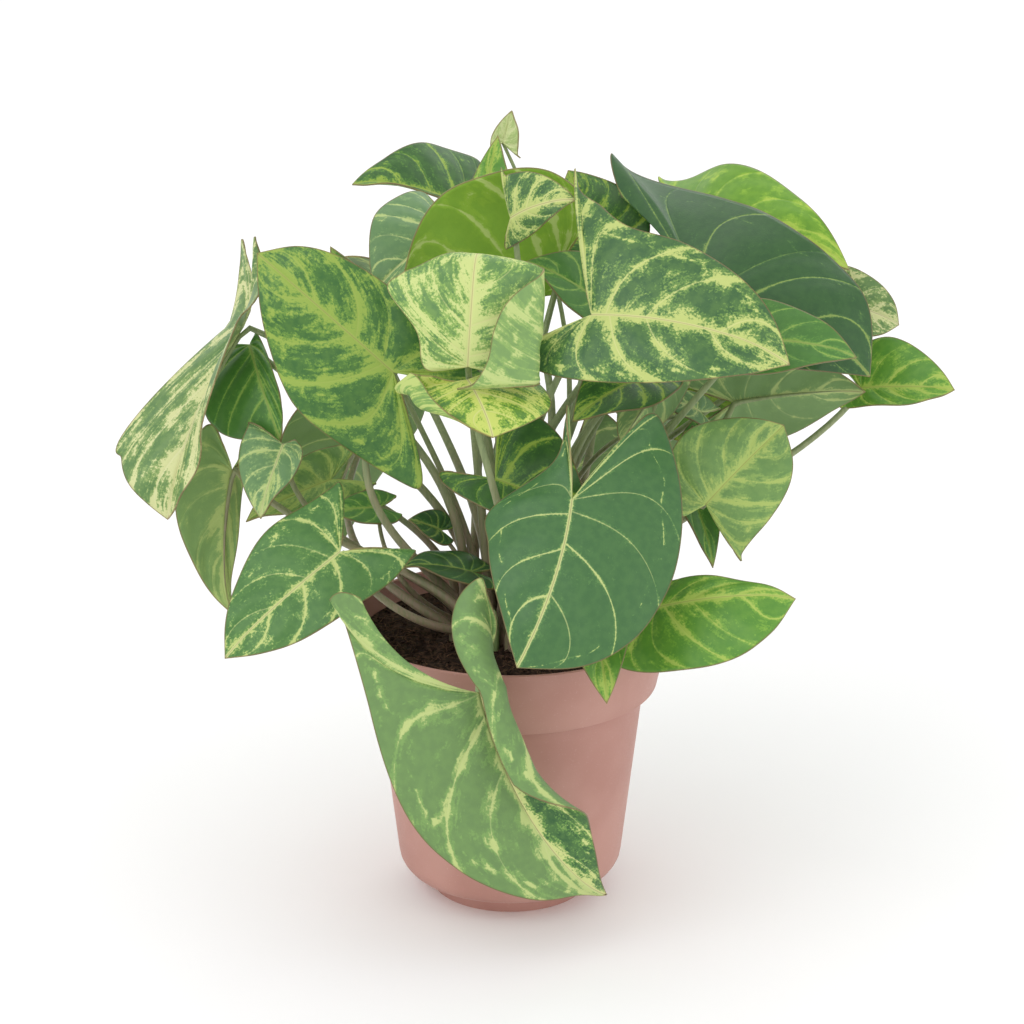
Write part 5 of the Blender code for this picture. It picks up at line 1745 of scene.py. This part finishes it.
@dataclass
class Pot:
    """Plastic pot with a flared band under its rim, a stepped foot and drain holes."""

    effects: Effects
    rim_radius: float = 60.0 * MM
    height: float = 107.0 * MM
    wall: float = 1.3 * MM
    band_low_radius: float = 54.8 * MM
    band_low_height: float = 82.5 * MM
    body_top_radius: float = 49.9 * MM
    body_low_radius: float = 42.2 * MM
    body_low_height: float = 15.0 * MM
    foot_radius: float = 29.5 * MM
    foot_height: float = 5.5 * MM
    floor_thickness: float = 2.0 * MM
    drain_count: int = 5
    drain_radius: float = 3.2 * MM
    drain_circle: float = 20.0 * MM
    drain_sides: int = 32
    drain_depth: float = 12 * MM
    inner_margin: float = 0.4 * MM
    steps: int = 160
    finish: PotFinish = PotFinish()

    def inside(self) -> tuple[tuple[float, float], ...]:
        """Profile of the inside, from the middle of the floor to the rim."""
        wall = self.wall
        return (
            (0.0, self.floor_thickness), (self.foot_radius - 1.2 * MM, self.floor_thickness),
            (self.foot_radius + 0.4 * MM, self.foot_height + wall + 0.5 * MM),
            (self.body_low_radius - 5.0 * MM, 9.4 * MM), (self.body_low_radius - 2.5 * MM, 12.0 * MM),
            (self.body_low_radius - wall, 16.0 * MM),
            (self.body_top_radius - wall, self.band_low_height + 0.8 * MM),
            (self.band_low_radius - wall - 0.2 * MM, self.band_low_height + 1.2 * MM),
            (self.rim_radius - wall - 0.4 * MM, self.height - 1.6 * MM))

    def outside(self) -> tuple[tuple[float, float], ...]:
        """Profile of the outside, from the rim to the middle of the floor, with rounded edges."""
        rim, lip = self.rim_radius, self.height
        band, step = self.band_low_radius, self.band_low_height
        top, low, foot = self.body_top_radius, self.body_low_radius, self.foot_radius
        corners = (
            (rim, -1.5, lip, -0.25), (rim, -1.05, lip, 0.0), (rim, -0.5, lip, 0.0), (rim, -0.1, lip, -0.35),
            (rim, 0.0, lip, -0.9), (band, 0.12, step, 0.35), (band, -0.15, step, -0.2),
            (band, -0.6, step, -0.45), (top, 0.5, step, -0.75), (top, 0.1, step, -1.1),
            (top, -0.04, step, -2.0), (low, 0.0, self.body_low_height, 0.0), (low, -0.45, 0.0, 12.6),
            (low, -1.4, 0.0, 10.6), (low, -2.9, 0.0, 8.7), (low, -4.6, 0.0, 7.4), (foot, 2.6, 0.0, 6.2),
            (foot, 1.6, self.foot_height, 0.0), (foot, 1.2, 0.0, 4.6), (foot, 0.4, 0.0, 0.6),
            (foot, 0.0, 0.0, 0.0), (0.0, 0.0, 0.0, 0.0))
        return tuple((radius + out * MM, height + up * MM) for radius, out, height, up in corners)

    def build(self) -> None:
        """Spin the wall, cut the drain holes and dress the pot."""
        outside = self.outside()
        shape = spun(outside + self.inside(), self.steps, len(outside) - 1)
        shell = linked("pot_draft", written(shape, "pot_shell"))
        drains = self.drain_cutters()
        cut = shell.modifiers.new("Drains", "BOOLEAN")
        cut.operation, cut.solver, cut.object = "DIFFERENCE", "EXACT", drains
        shape = taken(shell)
        bpy.data.objects.remove(drains)
        for face in shape.faces:
            middle = face.calc_center_median()
            outward = Vector((middle.x, middle.y, 0.0))
            # Inner faces below the lip get the inside material, whose deep red is painted light coming
            # through the wall.
            inner = middle.z > self.floor_thickness - 0.1 * MM and (
                face.normal.dot(outward) < 0 or outward.length < self.foot_radius + 0.3 * MM)
            face.material_index = 1 if inner and middle.z < self.height - self.inner_margin else 0
        mesh = finished(shape, "pot_shell", 30.0)
        surfaces = [self.finish.material("pot_outside", False, self.effects),
                    self.finish.material("pot_inside", True, self.effects)]
        mesh.materials.clear()
        new_piece("pot_shell", mesh, surfaces, ["pot"])
        LOG.info("pot: %d faces", len(mesh.polygons))

    def drain_cutters(self) -> bpy.types.Object:
        """Make the cylinders that the drain holes are cut with.

        Returns:
            The object that holds them.
        """
        shape = bmesh.new()
        for k in range(self.drain_count):
            angle = FULL_TURN * k / self.drain_count
            place = (self.drain_circle * math.cos(angle), self.drain_circle * math.sin(angle), 0.0)
            bmesh.ops.create_cone(shape, cap_ends=True, segments=self.drain_sides,
                                  radius1=self.drain_radius, radius2=self.drain_radius,
                                  depth=self.drain_depth, matrix=Matrix.Translation(place))
        return linked("drain_cutters", written(shape, "drain_cutters"))


@dataclass
class Soil:
    """Potting soil: a lumpy bed, crumbs on it and fine fibres among them."""

    effects: Effects
    pot: Pot
    depth_below_rim: float = 8.0 * MM
    dome: float = 2.5 * MM
    wall_gap: float = 0.5 * MM
    dome_power: float = 1.6
    rings: int = 70
    ring_power: float = 0.9
    steps: int = 150
    lump: float = 1.6 * MM
    lump_scale: float = 120.0
    lump_noise: tuple[float, float, int] = (0.6, 2.2, 5)
    lump_power: int = 8
    top_sunk: float = 0.3 * MM
    crumbs: int = 520
    crumb_inset: float = 2.5 * MM
    crumb_sizes: tuple[float, float] = (0.5, 1.8)
    crumb_flatness: tuple[tuple[float, float], ...] = ((0.55, 0.9), (0.45, 0.8))
    big_crumbs: float = 0.12
    crumb_growth: tuple[float, float] = (1.25, 0.8)
    crumb_dents: tuple[float, float] = (900.0, 0.35)
    crumb_raised: float = 0.15
    fibres: int = 420
    fibre_inset: float = 5 * MM
    fibre_parts: int = 5
    fibre_step: float = 1.3
    fibre_turn: float = 0.7
    fibre_rise: float = 1.6
    fibre_raised: float = 0.2 * MM
    fibre_radii: tuple[float, float] = (0.07, 0.16)
    seed: int = 7
    finish: SoilFinish = SoilFinish()

    @property
    def top(self) -> float:
        """Height of the soil at the wall."""
        return self.pot.height - self.depth_below_rim

    @property
    def edge(self) -> float:
        """Radius of the soil at its top."""
        low, high = self.pot.inside()[-2:]
        share = (self.top - low[1]) / (high[1] - low[1])
        return low[0] + (high[0] - low[0]) * share - self.wall_gap

    def height_at(self, x: float, y: float) -> float:
        """Find the height of the lumpy top.

        Args:
            x: Place across.
            y: Place along.

        Returns:
            The height.
        """
        share = min(math.hypot(x, y) / self.edge, 1.0)
        lumps = noise.fractal(Vector((x * self.lump_scale, y * self.lump_scale, 1.7)), *self.lump_noise)
        domed = self.top + self.dome * (1 - share ** self.dome_power)
        return domed + self.lump * lumps * (1 - share ** self.lump_power) - self.top_sunk

    def bed(self) -> bpy.types.Mesh:
        """Make the block of soil with its lumpy top.

        Returns:
            The mesh.
        """
        wall = [(max(radius - self.wall_gap, 0.0), height + self.wall_gap)
                for radius, height in self.pot.inside()[:-1]]
        reach = [self.edge * (k / self.rings) ** self.ring_power for k in range(self.rings + 1)]
        shape = spun([(radius, self.top) for radius in reach] + wall[::-1], self.steps)
        for vert in shape.verts:
            if vert.co.z > self.top - 0.1 * MM and math.hypot(vert.co.x, vert.co.y) < self.edge - 0.05 * MM:
                vert.co.z = self.height_at(vert.co.x, vert.co.y)
        return finished(shape, "soil_bed", 80.0)

    def spot(self, chance: random.Random, inset: float) -> tuple[float, float]:
        """Draw a place on the soil.

        Args:
            chance: What it is drawn with.
            inset: How far it keeps from the soil's edge.

        Returns:
            The place, across and along.
        """
        angle = chance.uniform(0, FULL_TURN)
        radius = (self.edge - inset) * math.sqrt(chance.random())
        return radius * math.cos(angle), radius * math.sin(angle)

    def crumb_mesh(self) -> bpy.types.Mesh:
        """Make the loose crumbs, from flattened and jittered balls.

        Returns:
            The mesh.
        """
        chance = random.Random(self.seed)
        noise.seed_set(self.seed)  # noise_vector reads a state that the clock seeds otherwise
        shape = bmesh.new()
        for _ in range(self.crumbs):
            x, y = self.spot(chance, self.crumb_inset)
            size = chance.uniform(*self.crumb_sizes) * MM
            size *= self.crumb_growth[0 if chance.random() < self.big_crumbs else 1]
            place = Matrix.Translation((x, y, self.height_at(x, y) + self.crumb_raised * size))
            angle, axis = chance.uniform(0, 6.28), Vector((chance.random(), chance.random(), 0.4))
            turn = Matrix.Rotation(angle, 4, axis)
            scale = Matrix.Diagonal((1.0, *(chance.uniform(*sizes) for sizes in self.crumb_flatness), 1.0))
            made = bmesh.ops.create_icosphere(shape, subdivisions=1, radius=size, matrix=place @ turn @ scale)
            for vert in made["verts"]:
                vert.co += noise.noise_vector(vert.co * self.crumb_dents[0]) * size * self.crumb_dents[1]
        return finished(shape, "soil_crumbs", 50.0)

    def fibre_mesh(self) -> bpy.types.Mesh:
        """Make thin bent fibres that lie on the soil.

        Returns:
            The mesh.
        """
        chance = random.Random(self.seed + 1)
        curve = tube_line("fibres", 0)
        for _ in range(self.fibres):
            x, y = self.spot(chance, self.fibre_inset)
            heading = chance.uniform(0, FULL_TURN)
            spline = curve.splines.new("POLY")
            spline.points.add(self.fibre_parts)
            rise = chance.uniform(0.0, self.fibre_rise) * MM
            for k, point in enumerate(spline.points):
                arch = rise * math.sin(math.pi * k / self.fibre_parts)
                point.co = (x, y, self.height_at(x, y) + self.fibre_raised + arch, 1.0)
                point.radius = chance.uniform(*self.fibre_radii) * MM
                heading += chance.uniform(-self.fibre_turn, self.fibre_turn)
                x += math.cos(heading) * self.fibre_step * MM
                y += math.sin(heading) * self.fibre_step * MM
                if math.hypot(x, y) > self.edge - 1 * MM:
                    x, y = x * 0.97, y * 0.97
        shape = taken(linked("fibre_lines", curve))
        bmesh.ops.recalc_face_normals(shape, faces=shape.faces)
        return finished(shape, "soil_fibres", 80.0)

    def build(self) -> None:
        """Build and dress the soil."""
        surface = self.finish.material("soil_peat", self.effects)
        pale = replace(self.finish, deep=tone(84, 62, 48), crumb=tone(134, 104, 82))
        light = pale.material("soil_fibre", self.effects)
        for name, mesh, dressed in (("soil_bed", self.bed(), surface),
                                    ("soil_crumbs", self.crumb_mesh(), surface),
                                    ("soil_fibres", self.fibre_mesh(), light)):
            new_piece(name, mesh, [dressed], ["soil"])
            LOG.info("%s: %d faces", name, len(mesh.polygons))


@dataclass(frozen=True)
class Lamp:
    """A soft square lamp that points at the plant, with its side in metres and its power in watts."""

    name: str
    place: tuple[float, float, float]
    side: float
    power: float
    aim: tuple[float, float, float] = (0.0, 0.0, 0.15)

    def hang(self) -> None:
        """Hang the lamp."""
        light = bpy.data.lights.new(self.name, "AREA")
        light.size = self.side
        light.energy = self.power
        made = linked(self.name, light)
        made.location = self.place
        made.rotation_euler = (Vector(self.place) - Vector(self.aim)).to_track_quat("Z", "Y").to_euler()


@dataclass
class Studio:
    """Plain white floor and soft light."""

    floor_size: float = 12.0
    sky: float = 1.0
    finish: StudioFinish = StudioFinish()
    lamps: tuple[Lamp, ...] = (Lamp("key_light", (-0.9, -1.1, 1.5), 1.1, 6.5),
                               Lamp("fill_light", (1.3, -0.9, 0.9), 1.2, 2.0),
                               Lamp("back_light", (0.5, 1.3, 1.3), 1.0, 3.0))

    def build(self) -> None:
        """Lay the floor and set the lights."""
        shape = bmesh.new()
        bmesh.ops.create_grid(shape, x_segments=1, y_segments=1, size=self.floor_size / 2)
        mesh = written(shape, "floor")
        mesh.materials.append(self.finish.material("floor_white"))
        linked("floor", mesh)
        world = bpy.data.worlds.new("studio_sky")
        world.use_nodes = True
        back = world.node_tree.nodes["Background"]
        back.inputs["Color"].default_value = (1.0, 1.0, 1.0, 1.0)
        back.inputs["Strength"].default_value = self.sky
        bpy.context.scene.world = world
        for lamp in self.lamps:
            lamp.hang()
        bpy.context.scene.view_settings.view_transform = "Standard"


def main() -> None:
    """Build the pot, the soil, the leaves and the studio, and log the pieces' face counts."""
    logging.basicConfig(level=logging.INFO, format="%(name)s: %(message)s")
    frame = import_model()
    effects = Effects()
    VIEW.camera()
    Studio().build()
    pot = Pot(effects)
    pot.build()
    soil = Soil(effects, pot)
    soil.build()
    Foliage(effects, soil.top, frame["record"]).build()


if __name__ == "__main__":
    main()
